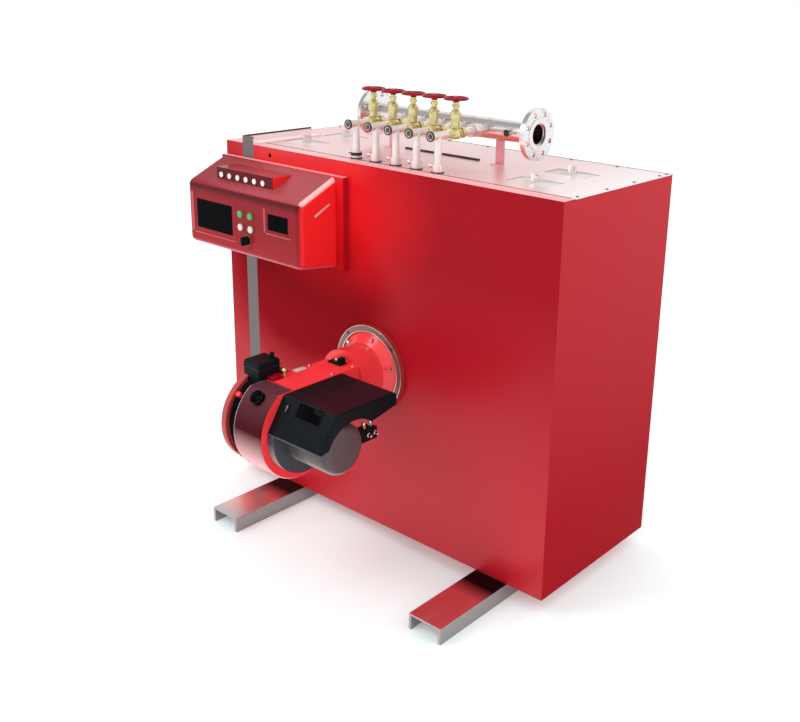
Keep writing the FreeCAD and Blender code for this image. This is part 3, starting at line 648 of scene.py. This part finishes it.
def at(place, axis=Z):
    """The matrix that stands a shape on a place, along an axis."""
    return Matrix.Translation(place) @ turn_to(axis)


def round_edges(mesh, edges, radius, segments):
    """Rounds some edges of a mesh."""
    bmesh.ops.bevel(mesh, geom=list(edges), offset=radius, offset_type="OFFSET", segments=segments,
                    profile=0.5, affect="EDGES", material=-1, clamp_overlap=True)


def add_block(mesh, low, high, edge=0.0, turned=Matrix()):
    """A block between two corners, with rounded edges."""
    low = Vector(low)
    high = Vector(high)
    size = Matrix.Diagonal((*(high - low), 1))
    middle_of = Matrix.Translation((low + high) / 2)
    made = bmesh.ops.create_cube(mesh, size=1, matrix=turned @ middle_of @ size)
    if edge:
        round_edges(mesh, {item for vert in made["verts"] for item in vert.link_edges}, edge, 2)


def add_bar(mesh, place, axis, radius, reach, sides=32, edge=0.0):
    """A bar from a place along an axis, round or with few sides, with rounded ends."""
    lift = Matrix.Translation((0, 0, reach / 2))
    made = bmesh.ops.create_cone(mesh, cap_ends=True, segments=sides, radius1=radius, radius2=radius,
                                 depth=reach, matrix=at(place, axis) @ lift)
    if edge:
        ends = {face for vert in made["verts"] for face in vert.link_faces if len(face.verts) == sides}
        round_edges(mesh, {item for face in ends for item in face.edges}, edge, 3)


def spin(mesh, verts, edges, place, base, steps):
    """Turns an outline once round the axis of a base matrix."""
    bmesh.ops.spin(mesh, geom=verts + edges, cent=place, axis=base.to_3x3() @ Z, angle=math.tau,
                   steps=steps, use_merge=True)


def add_turned(mesh, place, axis, outline, steps=40):
    """A shape turned from an outline of radii and heights along an axis."""
    base = at(place, axis)
    verts = [mesh.verts.new(base @ Vector((radius, 0, height))) for radius, height in outline]
    edges = [mesh.edges.new(pair) for pair in zip(verts, verts[1:])]
    spin(mesh, verts, edges, place, base, steps)


def add_ring(mesh, place, axis, radius, thick, steps=40, sides=10):
    """A round ring of round section."""
    base = at(place, axis)
    section = base @ Matrix.Translation((radius, 0, 0)) @ Matrix.Rotation(math.pi / 2, 4, "X")
    made = bmesh.ops.create_circle(mesh, segments=sides, radius=thick, matrix=section)
    edges = list({item for vert in made["verts"] for item in vert.link_edges})
    spin(mesh, made["verts"], edges, place, base, steps)


def add_band(mesh, place, axis, inner, outer, thick, steps=40):
    """A flat ring with chamfered edges, standing on a place."""
    wall = thick * 0.8
    chamfer = thick * 0.2
    add_turned(mesh, place, axis, ((inner, 0), (outer, 0), (outer, wall), (outer - chamfer, thick),
                                   (inner + chamfer, thick), (inner, wall), (inner, 0)), steps)


def add_bolt(mesh, place, axis, radius):
    """A bolt's washer, hexagon head and the domed end of its thread."""
    along = Vector(axis).normalized()
    washer = radius * 0.25
    head = radius * 0.75
    add_bar(mesh, place, axis, radius * 1.35, washer, 20)
    add_bar(mesh, Vector(place) + along * washer, axis, radius, head, 6, edge=radius * 0.08)
    tip = Vector(place) + along * washer + along * head
    add_bar(mesh, tip, axis, radius * 0.5, radius * 0.3, 12, edge=radius * 0.1)


def add_screw(mesh, place, axis, radius):
    """A domed sheet screw with its washer and its recess."""
    outline = ((1.4, 0), (1.4, 0.2), (1, 0.2), (0.86, 0.5), (0.5, 0.68), (0.28, 0.70), (0.24, 0.5), (0, 0.5))
    add_turned(mesh, place, axis, [(radius * out, radius * up) for out, up in outline], 12)


def finish_piece(name, mesh, finish, body="boiler", welds=True):
    """Turns a bmesh into a named piece that rides on a body."""
    if welds:
        bmesh.ops.remove_doubles(mesh, verts=mesh.verts, dist=WELD_DISTANCE)
    bmesh.ops.recalc_face_normals(mesh, faces=mesh.faces)
    data = bpy.data.meshes.new(name)
    mesh.to_mesh(data)
    mesh.free()
    data.shade_smooth()
    data.set_sharp_from_angle(angle=SHARP_ANGLE)
    data.materials.append(bpy.data.materials[finish])
    piece = bpy.data.objects.new(name, data)
    bpy.context.scene.collection.objects.link(piece)
    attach(piece, body)


def middle(node):
    """The middle of a CAD node's box."""
    low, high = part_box(node)
    return (low + high) / 2


def spread(low, high, pitch):
    """Evenly spaced places between two ends, about a pitch apart."""
    count = max(1, round((high - low) / pitch))
    return [low + (high - low) * number / count for number in range(count + 1)]


def branches():
    """Where each branch stands along X."""
    return [middle(f"handwheel_{number}").x for number in range(1, 6)]


# ---------------------------------------------------------------- operators

class BOILER_OT_finishes(bpy.types.Operator):
    """Make the materials and give each CAD node its own"""
    bl_idname = "boiler.finishes"
    bl_label = "Finishes"
    bl_options = UNDOABLE

    def execute(self, context):
        for build in FINISHES:
            build()
        for finish, nodes in NODE_FINISH.items():
            for node in nodes:
                for slot in frame["nodes"][node].material_slots:
                    slot.material = bpy.data.materials[finish]
        return {"FINISHED"}


class BOILER_OT_deck_screws(bpy.types.Operator):
    """Add the sheet screws round the deck"""
    bl_idname = "boiler.deck_screws"
    bl_label = "Deck screws"
    bl_options = UNDOABLE

    def execute(self, context):
        size = sizes()
        edge = size.screw_edge
        low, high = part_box("top_panel")
        mesh = bmesh.new()
        for x in spread(low.x + edge, high.x - edge, size.screw_pitch):
            add_screw(mesh, (x, high.y - edge, high.z), Z, size.screw)
        for y in spread(low.y + edge * 2, high.y - edge * 4, size.screw_pitch):
            for x in (low.x + edge, high.x - edge):
                add_screw(mesh, (x, y, high.z), Z, size.screw)
        # The screws are in the dark bronze as painted shade, since the heads sit dark in shade along the
        # deck's edges.
        finish_piece("cabinet_screws", mesh, "bronze")
        return {"FINISHED"}


class BOILER_OT_deck(bpy.types.Operator):
    """Add the deck's joints, the pans in its recesses and the rail under the valves"""
    bl_idname = "boiler.deck"
    bl_label = "Deck fittings"
    bl_options = UNDOABLE

    def execute(self, context):
        low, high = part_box("top_panel")
        self.seams(low, high)
        self.pans(low.z)
        self.rail(high.z)
        return {"FINISHED"}

    def seams(self, low, high):
        """Dark joints along the deck's front and back edges."""
        size = sizes()
        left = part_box("front_panel")[0].x
        half = size.seam / 2
        bottom, top = high.z - half, high.z + half / 3
        mesh = bmesh.new()
        add_block(mesh, (left, low.y - half, bottom), (high.x - size.screw_edge, low.y + half, top))
        add_block(mesh, (low.x, high.y - size.seam, bottom), (high.x, high.y, top))
        finish_piece("cabinet_seams", mesh, "dark_gap")

    def pans(self, deck):
        """A pale pan just under the deck round each lifting lug."""
        low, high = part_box("lifting_lugs")
        lug_x, lug_y = 0.006, 0.018
        half_long, half_wide = 0.092, 0.053
        bottom, top = deck - 0.003, deck - 0.001
        mesh = bmesh.new()
        for x in (low.x + lug_x, high.x - lug_x):
            for y in (low.y + lug_y, high.y - lug_y):
                add_block(mesh, (x - half_long, y - half_wide, bottom), (x + half_long, y + half_wide, top))
        finish_piece("recess_pans", mesh, "lagging")

    def rail(self, deck):
        """A dark rail on the deck behind the valves."""
        back = middle("header_pipe").y
        left, right = branches()[0] - 0.030, branches()[-1] - 0.058
        tall = 0.006
        mesh = bmesh.new()
        add_block(mesh, (left, back + 0.010, deck), (right, back + 0.022, deck + tall), 0.001)
        finish_piece("deck_rail", mesh, "dark_gap")


class BOILER_OT_header(bpy.types.Operator):
    """Add the header's welds, flange faces and the plug in its socket"""
    bl_idname = "boiler.header"
    bl_label = "Header fittings"
    bl_options = UNDOABLE

    def execute(self, context):
        axis = middle("header_pipe")
        low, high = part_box("header_pipe")
        radius = (high.z - low.z) / 2
        self.welds(axis, radius)
        self.faces(axis, radius)
        self.plug(axis)
        return {"FINISHED"}

    def welds(self, axis, radius):
        """A bead where each flange and each branch meets the header."""
        bead = sizes().weld
        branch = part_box("risers")[1].z - axis.z
        sunk = 0.004
        mesh = bmesh.new()
        for x in (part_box("header_flange_left")[1].x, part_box("header_flange_right")[0].x):
            add_ring(mesh, (x, axis.y, axis.z), X, radius + bead * 0.4, bead, 48)
        for x in branches():
            add_ring(mesh, (x, axis.y - radius + sunk, axis.z), Y, branch + bead * 0.3, bead, 32)
        finish_piece("header_welds", mesh, "bright_steel")

    def faces(self, axis, radius):
        """The raised sealing face of each flange."""
        gap, sunk, thick = 0.002, 0.0005, 0.0025
        mesh = bmesh.new()
        for x, side in ((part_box("header_flange_left")[0].x, -1), (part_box("header_flange_right")[1].x, 1)):
            place = Vector((x, axis.y, axis.z)) - X * side * sunk
            add_band(mesh, place, X * side, radius + gap, radius * 1.56, thick, 64)
        finish_piece("flange_faces", mesh, "bright_steel")

    def plug(self, axis):
        """The dark plug in the side socket."""
        low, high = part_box("header_socket")
        radius, sunk, thick, edge = 0.0122, 0.0008, 0.0022, 0.0004
        mesh = bmesh.new()
        add_bar(mesh, ((low.x + high.x) / 2, low.y + sunk, axis.z), -Y, radius, thick, 32, edge)
        finish_piece("socket_plug", mesh, "rubber")


class BOILER_OT_branches(bpy.types.Operator):
    """Add the seals, drain studs, valve nuts and union rings of the branches"""
    bl_idname = "boiler.branches"
    bl_label = "Branch fittings"
    bl_options = UNDOABLE

    def execute(self, context):
        axis_z = middle("header_pipe").z
        self.feet(axis_z)
        self.valves(axis_z)
        self.unions(axis_z)
        return {"FINISHED"}

    def feet(self, axis_z):
        """Rubber seals at each foot and mouth, and a drain stud on each collar."""
        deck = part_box("top_panel")[1].z
        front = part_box("risers")[0].y
        low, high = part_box("riser_collars")
        foot_y = (low.y + high.y) / 2
        radius = (high.y - low.y) / 2
        mouth, mouth_rim = 0.0128, 0.0176
        stud, nut = 0.005, 0.0085
        stud_z = high.z - 0.009
        seals = bmesh.new()
        studs = bmesh.new()
        for x in branches():
            add_band(seals, (x, foot_y, deck), Z, radius - 0.004, radius + 0.0035, 0.004, 32)
            add_band(seals, (x, front - 0.0005, axis_z), Y, mouth, mouth_rim, sizes().seal, 32)
            add_bar(studs, (x - radius + 0.002, foot_y, stud_z), -X, stud, 0.017, 16, 0.0008)
            add_bar(studs, (x - radius - 0.011, foot_y, stud_z), -X, nut, 0.006, 6, 0.0006)
        strap = (branches()[0], foot_y, low.z + 0.012)
        add_band(seals, strap, Z, radius - 0.0005, radius + 0.002, 0.011, 32)
        finish_piece("riser_seals", seals, "rubber")
        finish_piece("drain_studs", studs, "pale_steel")

    def valves(self, axis_z):
        """The gland nut of each valve and the beads on its neck and its body."""
        y = middle("handwheel_1").y
        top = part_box("gate_valves")[1].z
        gland, neck, hip, end = 0.0135, 0.0192, 0.0165, 0.0182
        mesh = bmesh.new()
        for x in branches():
            add_bar(mesh, (x, y, top - 0.017), Z, gland, 0.011, 6, 0.0008)
            add_ring(mesh, (x, y, top - 0.038), Z, neck, 0.0022, 32)
            add_ring(mesh, (x, y, axis_z + 0.020), Z, hip, 0.0022, 32)
            for side in (-1, 1):
                add_ring(mesh, (x, y + side * 0.026, axis_z), Y, end, 0.0018, 32)
        finish_piece("valve_nuts", mesh, "brass")

    def unions(self, axis_z):
        """Three collars on each union."""
        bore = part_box("risers")[1].z - axis_z - 0.0036
        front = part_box("pipe_unions")[0].y
        mesh = bmesh.new()
        for x in branches():
            for back, radius in ((0.034, 0.0225), (0.070, 0.0235), (0.096, 0.0190)):
                add_band(mesh, (x, front + back, axis_z), Y, bore, radius, 0.005, 32)
        finish_piece("union_rings", mesh, "pale_steel")


class BOILER_OT_displays(bpy.types.Operator):
    """Add the frames round the control box's two displays"""
    bl_idname = "boiler.displays"
    bl_label = "Display frames"
    bl_options = UNDOABLE

    def execute(self, context):
        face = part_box("control_cover")[0].y
        width = sizes().frame
        thin = width / 3
        proud, low_proud, sunk = face - 0.003, face - 0.0015, face + 0.001
        frames = bmesh.new()
        edges = bmesh.new()
        displays = (("main_display", width * 2.6, 0.018), ("meter_display", width * 1.8, 0.012))
        for node, wide, margin in displays:
            low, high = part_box(node)
            left, right = low.x - margin - wide, high.x + margin + width
            bottom, top = low.z - margin - width, high.z + margin + width
            # The left and bottom strips are a brighter red as a painted highlight; the top and right strips
            # take the front's painted shade.
            add_block(frames, (left, proud, bottom), (left + wide, sunk, top), 0.0012)
            add_block(frames, (left, proud, bottom), (right, sunk, bottom + width), 0.0012)
            add_block(edges, (left, low_proud, top - thin), (right, sunk, top), 0.0006)
            add_block(edges, (right - thin, low_proud, bottom), (right, sunk, top), 0.0006)
        finish_piece("display_frames", frames, "cover_red", welds=False)
        finish_piece("display_edges", edges, "moulded_red", welds=False)
        return {"FINISHED"}


class BOILER_OT_controls(bpy.types.Operator):
    """Add the bezels of buttons and lamps, the knob's grip and the handle on the side"""
    bl_idname = "boiler.controls"
    bl_label = "Control fittings"
    bl_options = UNDOABLE

    def execute(self, context):
        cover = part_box("control_cover")
        self.bezels(cover[0].y)
        self.grip()
        self.handle(*cover)
        return {"FINISHED"}

    def bezels(self, face):
        """A thin ring round each button, each lamp and the knob."""
        mesh = bmesh.new()
        for node in ("green_buttons", "white_buttons"):
            low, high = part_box(node)
            radius = (high.z - low.z) / 2
            for x in (low.x + radius, high.x - radius):
                add_band(mesh, (x, face, (low.z + high.z) / 2), -Y, radius, radius + 0.003, 0.004, 32)
        low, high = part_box("indicator_lamps")
        radius = (high.z - low.z) / 2
        first, last = low.x + radius, high.x - radius
        for x in spread(first, last, (high.x - low.x - 2 * radius) / 5):
            add_band(mesh, (x, high.y, (low.z + high.z) / 2), -Y, radius, radius + 0.0025, 0.003, 28)
        low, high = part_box("selector_knob")
        radius = (high.z - low.z) / 2
        knob = (low + high) / 2
        add_band(mesh, (knob.x, face, knob.z), -Y, radius + 0.001, radius + 0.005, 0.003, 32)
        finish_piece("button_bezels", mesh, "bronze")

    def grip(self):
        """The raised grip across the knob."""
        low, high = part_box("selector_knob")
        knob = (low + high) / 2
        reach = (high.z - low.z) / 2 * 0.92
        half_wide, proud, sunk = 0.0045, 0.009, 0.002
        mesh = bmesh.new()
        add_block(mesh, (knob.x - half_wide, low.y - proud, knob.z - reach),
                  (knob.x + half_wide, low.y + sunk, knob.z + reach), 0.0015)
        finish_piece("knob_grip", mesh, "black_gloss", body="selector")

    def handle(self, low, high):
        """The pale slanting handle on the box's right side."""
        place = Matrix.Translation((high.x, low.y + 0.108, low.z + 0.229))
        slant = Matrix.Rotation(math.radians(27), 4, "X")
        sunk, proud, half_long, half_wide = 0.001, 0.004, 0.041, 0.0042
        mesh = bmesh.new()
        add_block(mesh, (-sunk, -half_long, -half_wide), (proud, half_long, half_wide), 0.002, place @ slant)
        finish_piece("side_handle", mesh, "pale_steel")


class BOILER_OT_ring(bpy.types.Operator):
    """Add the studs of the burner's flange, and the screws and rims of its ring"""
    bl_idname = "boiler.ring"
    bl_label = "Burner ring fittings"
    bl_options = UNDOABLE

    def execute(self, context):
        low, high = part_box("burner_ring")
        centre = (low + high) / 2
        radius = (high.x - low.x) / 2
        self.studs(centre, radius, high.y - 0.014)
        self.screws(centre, radius, low.y)
        self.rims(centre, radius, low.y)
        return {"FINISHED"}

    def circle(self, centre, radius, y, start, count):
        """Places evenly round a circle that faces the front, from a start angle in degrees."""
        for number in range(count):
            angle = math.radians(start + number * 360 / count)
            yield centre.x + radius * math.cos(angle), y, centre.z + radius * math.sin(angle)

    def studs(self, centre, radius, face):
        """Six studs with their nuts in the head's flange."""
        mesh = bmesh.new()
        for place in self.circle(centre, radius * 0.745, face, 75, 6):
            add_bar(mesh, place, -Y, 0.0065, 0.026, 16, 0.0008)
            add_bolt(mesh, place, -Y, sizes().bolt * 1.25)
        finish_piece("flange_studs", mesh, "bright_steel")

    def screws(self, centre, radius, face):
        """Four dark screws in the ring."""
        mesh = bmesh.new()
        for place in self.circle(centre, radius * 0.94, face, 42, 4):
            add_bar(mesh, place, -Y, 0.0065, 0.0015, 20, 0.0004)
        finish_piece("ring_screws", mesh, "dark_gap")

    def rims(self, centre, radius, face):
        """Bright rims inside and outside the ring's face."""
        mesh = bmesh.new()
        add_ring(mesh, (centre.x, face + 0.001, centre.z), Y, radius - 0.0235, 0.0022, 72)
        add_ring(mesh, (centre.x, face + 0.0012, centre.z), Y, radius - 0.0016, 0.0016, 72)
        finish_piece("ring_rim", mesh, "bright_steel")


class BOILER_OT_inlet(bpy.types.Operator):
    """Add the fins of the air inlet, and the lip and tab of its cover"""
    bl_idname = "boiler.inlet"
    bl_label = "Air inlet fittings"
    bl_options = UNDOABLE

    def execute(self, context):
        low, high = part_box("inlet_cover")
        centre = (low + high) / 2
        self.fins(centre)
        lip = 0.004
        mesh = bmesh.new()
        add_ring(mesh, (high.x, centre.y, centre.z), X, (high.z - low.z) / 2 - lip, lip, 72)
        finish_piece("cover_lip", mesh, "cover_red")
        place = Matrix.Translation((high.x, centre.y - 0.112, centre.z + 0.086))
        lean = Matrix.Rotation(-0.9, 4, "X")
        mesh = bmesh.new()
        add_block(mesh, (-0.006, -0.024, 0), (0.024, 0.024, 0.018), 0.004, place @ lean)
        finish_piece("cover_tab", mesh, "casting_red")
        return {"FINISHED"}

    def fins(self, centre):
        """Thin rings along the inlet."""
        low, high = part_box("air_inlet")
        radius = (high.z - low.z) / 2
        pitch = 0.010
        mesh = bmesh.new()
        for x in spread(low.x + pitch, high.x - pitch, pitch):
            add_band(mesh, (x, centre.y, centre.z), X, radius - 0.001, radius + 0.006, 0.003, 64)
        finish_piece("inlet_fins", mesh, "black_gloss")


class BOILER_OT_duct(bpy.types.Operator):
    """Add what stands on the burner's duct"""
    bl_idname = "boiler.duct"
    bl_label = "Duct fittings"
    bl_options = UNDOABLE

    def execute(self, context):
        low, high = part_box("fan_housing")
        self.bolts(low, high)
        self.knobs(low, high)
        self.plates(low, high)
        self.clips(low, high)
        return {"FINISHED"}

    def bolts(self, low, high):
        """Four bolts at the duct's end."""
        from_side = 0.012
        mesh = bmesh.new()
        for x in (low.x + from_side, high.x - from_side):
            for y in (high.y - 0.020, high.y - 0.120):
                add_bolt(mesh, (x, y, high.z), Z, sizes().bolt * 0.7)
        finish_piece("duct_bolts", mesh, "bright_steel")

    def knobs(self, low, high):
        """A waisted brass knob, and a plain one by the sight glass."""
        waisted = ((0, 0), (0.009, 0), (0.009, 0.006), (0.005, 0.008), (0.005, 0.014), (0.009, 0.018),
                   (0.009, 0.024), (0.005, 0.029), (0, 0.030))
        plain = ((0, 0), (0.008, 0), (0.010, 0.008), (0.007, 0.015), (0, 0.018))
        mesh = bmesh.new()
        add_turned(mesh, (low.x + 0.022, high.y - 0.245, high.z), Z, waisted, 24)
        add_turned(mesh, (low.x + 0.060, high.y - 0.028, high.z + 0.004), Z, plain, 24)
        finish_piece("duct_knobs", mesh, "brass")

    def plates(self, low, high):
        """A pale plate that stands for a highlight, as painted light that glows a little, and a red bracket
        on the duct's left.
        """
        sunk = 0.001
        for name, left, right, front, back, tall, edge, finish, slot in (
            # The pale plate is a painted highlight on the duct's top, in the white that glows a little.
            ("duct_plate", 0.003, 0.026, 0.262, 0.310, 0.003, 0.001, "white_cap", "galvanised"),
            ("duct_bracket", 0.002, 0.034, 0.150, 0.198, 0.012, 0.002, "wheel_red", "red_casting"),
        ):
            mesh = bmesh.new()
            add_block(mesh, (low.x + left, low.y + front, high.z - sunk),
                      (low.x + right, low.y + back, high.z + tall), edge)
            finish_piece(name, mesh, finish)

    def clips(self, low, high):
        """Black clips on the duct, the actuator's spindle and the joint round its lid."""
        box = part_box("damper_actuator")
        mesh = bmesh.new()
        add_block(mesh, (low.x + 0.030, high.y - 0.050, high.z - 0.001),
                  (low.x + 0.095, high.y - 0.014, high.z + 0.006), 0.002)
        add_block(mesh, (low.x + 0.074, high.y - 0.046, high.z),
                  (low.x + 0.092, high.y - 0.018, high.z + 0.026), 0.003)
        spindle = (box[1].x - 0.022, box[1].y - 0.020, box[1].z - 0.002)
        add_bar(mesh, spindle, Z, 0.008, 0.022, 20, 0.002)
        finish_piece("black_clips", mesh, "black_gloss")
        proud = Vector((0.0006, 0.0006, 0))
        bottom = box[1].z - 0.024
        mesh = bmesh.new()
        add_block(mesh, (*(box[0] - proud).xy, bottom), (*(box[1] + proud).xy, bottom + 0.0016))
        finish_piece("actuator_joint", mesh, "rubber")


class BOILER_OT_hood(bpy.types.Operator):
    """Add the window on the hood's slope with its frame, the latch and the lip below"""
    bl_idname = "boiler.hood"
    bl_label = "Hood fittings"
    bl_options = UNDOABLE

    def execute(self, context):
        low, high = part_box("burner_hood")
        run = 0.075
        slope = Vector((0, run, high.z - low.z)).normalized()
        base = Matrix((X, slope, X.cross(slope).normalized())).transposed().to_4x4()
        base.translation = low
        self.window(base)
        latch = bmesh.new()
        add_block(latch, (0.038, 0.090, 0.0035), (0.0435, 0.112, 0.0052), 0.0008, base)
        finish_piece("hood_latch", latch, "zinc")
        lip = bmesh.new()
        add_block(lip, (0.002, -0.001, -0.007), (high.x - low.x - 0.002, 0.004, 0.0015), 0.001, base)
        finish_piece("hood_lip", lip, "slate")
        return {"FINISHED"}

    def window(self, base):
        """The dark window, its frame and the latch's seat."""
        left, bottom = 0.090, 0.088
        right, top = left + sizes().window, bottom + 0.046
        gap, edge = 0.001, 0.003
        reach = gap + edge
        sunk, proud = -0.001, 0.0032
        window = bmesh.new()
        add_block(window, (left, bottom, sunk), (right, top, 0.0018), 0.0008, base)
        finish_piece("hood_window", window, "black_glass")
        trim = bmesh.new()
        for first, last in (
            ((left - reach, bottom - reach), (right + reach, bottom - gap)),
            ((left - reach, top + gap), (right + reach, top + reach)),
            ((left - reach, bottom - gap), (left - gap, top + gap)),
            ((right + gap, bottom - gap), (right + reach, top + gap)),
        ):
            add_block(trim, (*first, sunk), (*last, proud), 0.0012, base)
        add_block(trim, (0.034, 0.084, sunk), (0.048, 0.118, 0.004), 0.002, base)
        finish_piece("hood_trim", trim, "black_gloss", welds=False)


class BOILER_OT_sight(bpy.types.Operator):
    """Add the rim and the domed lens of the sight glass"""
    bl_idname = "boiler.sight"
    bl_label = "Sight glass fittings"
    bl_options = UNDOABLE

    def execute(self, context):
        low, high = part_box("sight_glass")
        radius = (high.x - low.x) / 2
        aim = Vector((0, -1, 1)).normalized()
        place = (low + high) / 2 + aim * 0.004
        rim = bmesh.new()
        add_band(rim, place, aim, radius * 0.90, radius * 1.04, 0.008, 48)
        finish_piece("sight_rim", rim, "black_gloss")
        dome = ((radius * 0.92, 0), (radius * 0.92, 0.004), (radius * 0.66, 0.0070), (radius * 0.3, 0.0085),
                (0, 0.009))
        lens = bmesh.new()
        add_turned(lens, place, aim, dome, 40)
        finish_piece("sight_lens", lens, "black_glass")
        return {"FINISHED"}


class BOILER_OT_fuel(bpy.types.Operator):
    """Add the bright fittings on the fuel valve and the trim rings of the motor"""
    bl_idname = "boiler.fuel"
    bl_label = "Fuel valve and motor fittings"
    bl_options = UNDOABLE

    def execute(self, context):
        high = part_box("fuel_valve")[1]
        hexagon, pipe = 6, 20
        mesh = bmesh.new()
        for y in (high.y - 0.018, high.y - 0.050):
            add_bar(mesh, (high.x - 0.016, y, high.z - 0.001), Z, 0.009, 0.014, hexagon, 0.0008)
            add_bar(mesh, (high.x - 0.016, y, high.z + 0.013), Z, 0.006, 0.012, pipe, 0.001)
            add_bar(mesh, (high.x - 0.001, y, high.z - 0.014), X, 0.0085, 0.012, hexagon, 0.0008)
            add_bar(mesh, (high.x + 0.011, y, high.z - 0.014), X, 0.0055, 0.014, pipe, 0.001)
        finish_piece("fuel_fittings", mesh, "bright_steel")
        low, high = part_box("fan_motor")
        centre = (low + high) / 2
        radius = (high.z - low.z) / 2
        mesh = bmesh.new()
        for x in (high.x - 0.030, high.x - 0.110):
            add_ring(mesh, (x, centre.y, centre.z), X, radius - 0.0008, 0.0016, 64, 8)
        finish_piece("motor_trim", mesh, "enamel_grey")
        return {"FINISHED"}


class BOILER_OT_stage(bpy.types.Operator):
    """Set the floor, the lights and the camera"""
    bl_idname = "boiler.stage"
    bl_label = "Stage"
    bl_options = UNDOABLE

    def execute(self, context):
        stage = context.scene.boiler_stage
        self.floor(context, stage)
        self.lights(context, stage)
        self.camera(context, stage)
        return {"FINISHED"}

    def floor(self, context, stage):
        """A wide pale floor under the skids."""
        ground = Finish("floor", tuple(stage.floor), 0.6)
        ground.set("Base Color", ground.clouds(tuple(stage.floor), 0.01, 0.8))
        ground.set("Emission Color", (1.0, 1.0, 1.0, 1.0))
        ground.set("Emission Strength", 0.22)
        mesh = bmesh.new()
        bmesh.ops.create_grid(mesh, x_segments=4, y_segments=4, size=30.0)
        data = bpy.data.meshes.new("floor")
        mesh.to_mesh(data)
        mesh.free()
        data.materials.append(ground.material)
        piece = bpy.data.objects.new("floor", data)
        context.scene.collection.objects.link(piece)

    def lights(self, context, stage):
        """An even sky, a large soft light in front and a smaller one at the side."""
        world = bpy.data.worlds.new("sky")
        world.use_nodes = True
        sky = world.node_tree.nodes["Background"]
        sky.inputs["Color"].default_value = (1, 1, 1, 1)
        sky.inputs["Strength"].default_value = stage.sky
        context.scene.world = world
        for name, place, aim, width, power in (
            ("key", (-1.2, -2.4, 3.2), (-0.1, 0, 1.3), 1.6, stage.key),
            ("fill", (3.6, 0.6, 2.6), (0.8, 0.2, 1.0), 2.4, stage.fill),
        ):
            light = bpy.data.lights.new(name, "AREA")
            light.shape = "DISK"
            light.size = width
            light.energy = power
            lamp = bpy.data.objects.new(name, light)
            lamp.matrix_world = at(place, Vector(place) - Vector(aim))
            context.scene.collection.objects.link(lamp)
        context.scene.view_settings.view_transform = "Standard"

    def camera(self, context, stage):
        """The camera, in front and to the right, looking down a little."""
        place = (2.511, -2.5865, 2.102)
        data = bpy.data.cameras.new("camera")
        data.lens = stage.lens
        data.sensor_width = 36
        data.shift_x = -0.0625
        data.shift_y = -0.0825
        eye = bpy.data.objects.new("camera", data)
        turn = (Matrix.Rotation(math.radians(stage.azimuth), 4, "Z")
                @ Matrix.Rotation(math.radians(90 - stage.elevation), 4, "X")
                @ Matrix.Rotation(math.radians(stage.roll), 4, "Z"))
        eye.matrix_world = Matrix.Translation(place) @ turn
        context.scene.collection.objects.link(eye)
        context.scene.camera = eye


OPERATORS = (
    BOILER_OT_finishes, BOILER_OT_deck_screws, BOILER_OT_deck, BOILER_OT_header, BOILER_OT_branches,
    BOILER_OT_displays, BOILER_OT_controls, BOILER_OT_ring, BOILER_OT_inlet, BOILER_OT_duct,
    BOILER_OT_hood, BOILER_OT_sight, BOILER_OT_fuel, BOILER_OT_stage,
)
GROUPS = {"boiler_colours": BoilerColours, "boiler_sizes": BoilerSizes, "boiler_stage": BoilerStage}


class BOILER_PT_panel(bpy.types.Panel):
    """Lists the boiler's operators"""
    bl_label = "Boiler"
    bl_idname = "BOILER_PT_panel"
    bl_space_type = "VIEW_3D"
    bl_region_type = "UI"
    bl_category = "Boiler"

    def draw(self, context):
        for operator in OPERATORS:
            self.layout.operator(operator.bl_idname)


def register():
    """Registers the classes and puts their settings on the scene."""
    for item in (*GROUPS.values(), *OPERATORS, BOILER_PT_panel):
        bpy.utils.register_class(item)
    for name, group in GROUPS.items():
        setattr(bpy.types.Scene, name, PointerProperty(type=group))


def unregister():
    """Takes the settings and the classes away again."""
    for name in GROUPS:
        delattr(bpy.types.Scene, name)
    for item in reversed((*GROUPS.values(), *OPERATORS, BOILER_PT_panel)):
        bpy.utils.unregister_class(item)


def main():
    """Makes the whole boiler."""
    register()
    for operator in OPERATORS:
        group, name = operator.bl_idname.split(".")
        getattr(getattr(bpy.ops, group), name)()


if __name__ == "__main__":
    main()
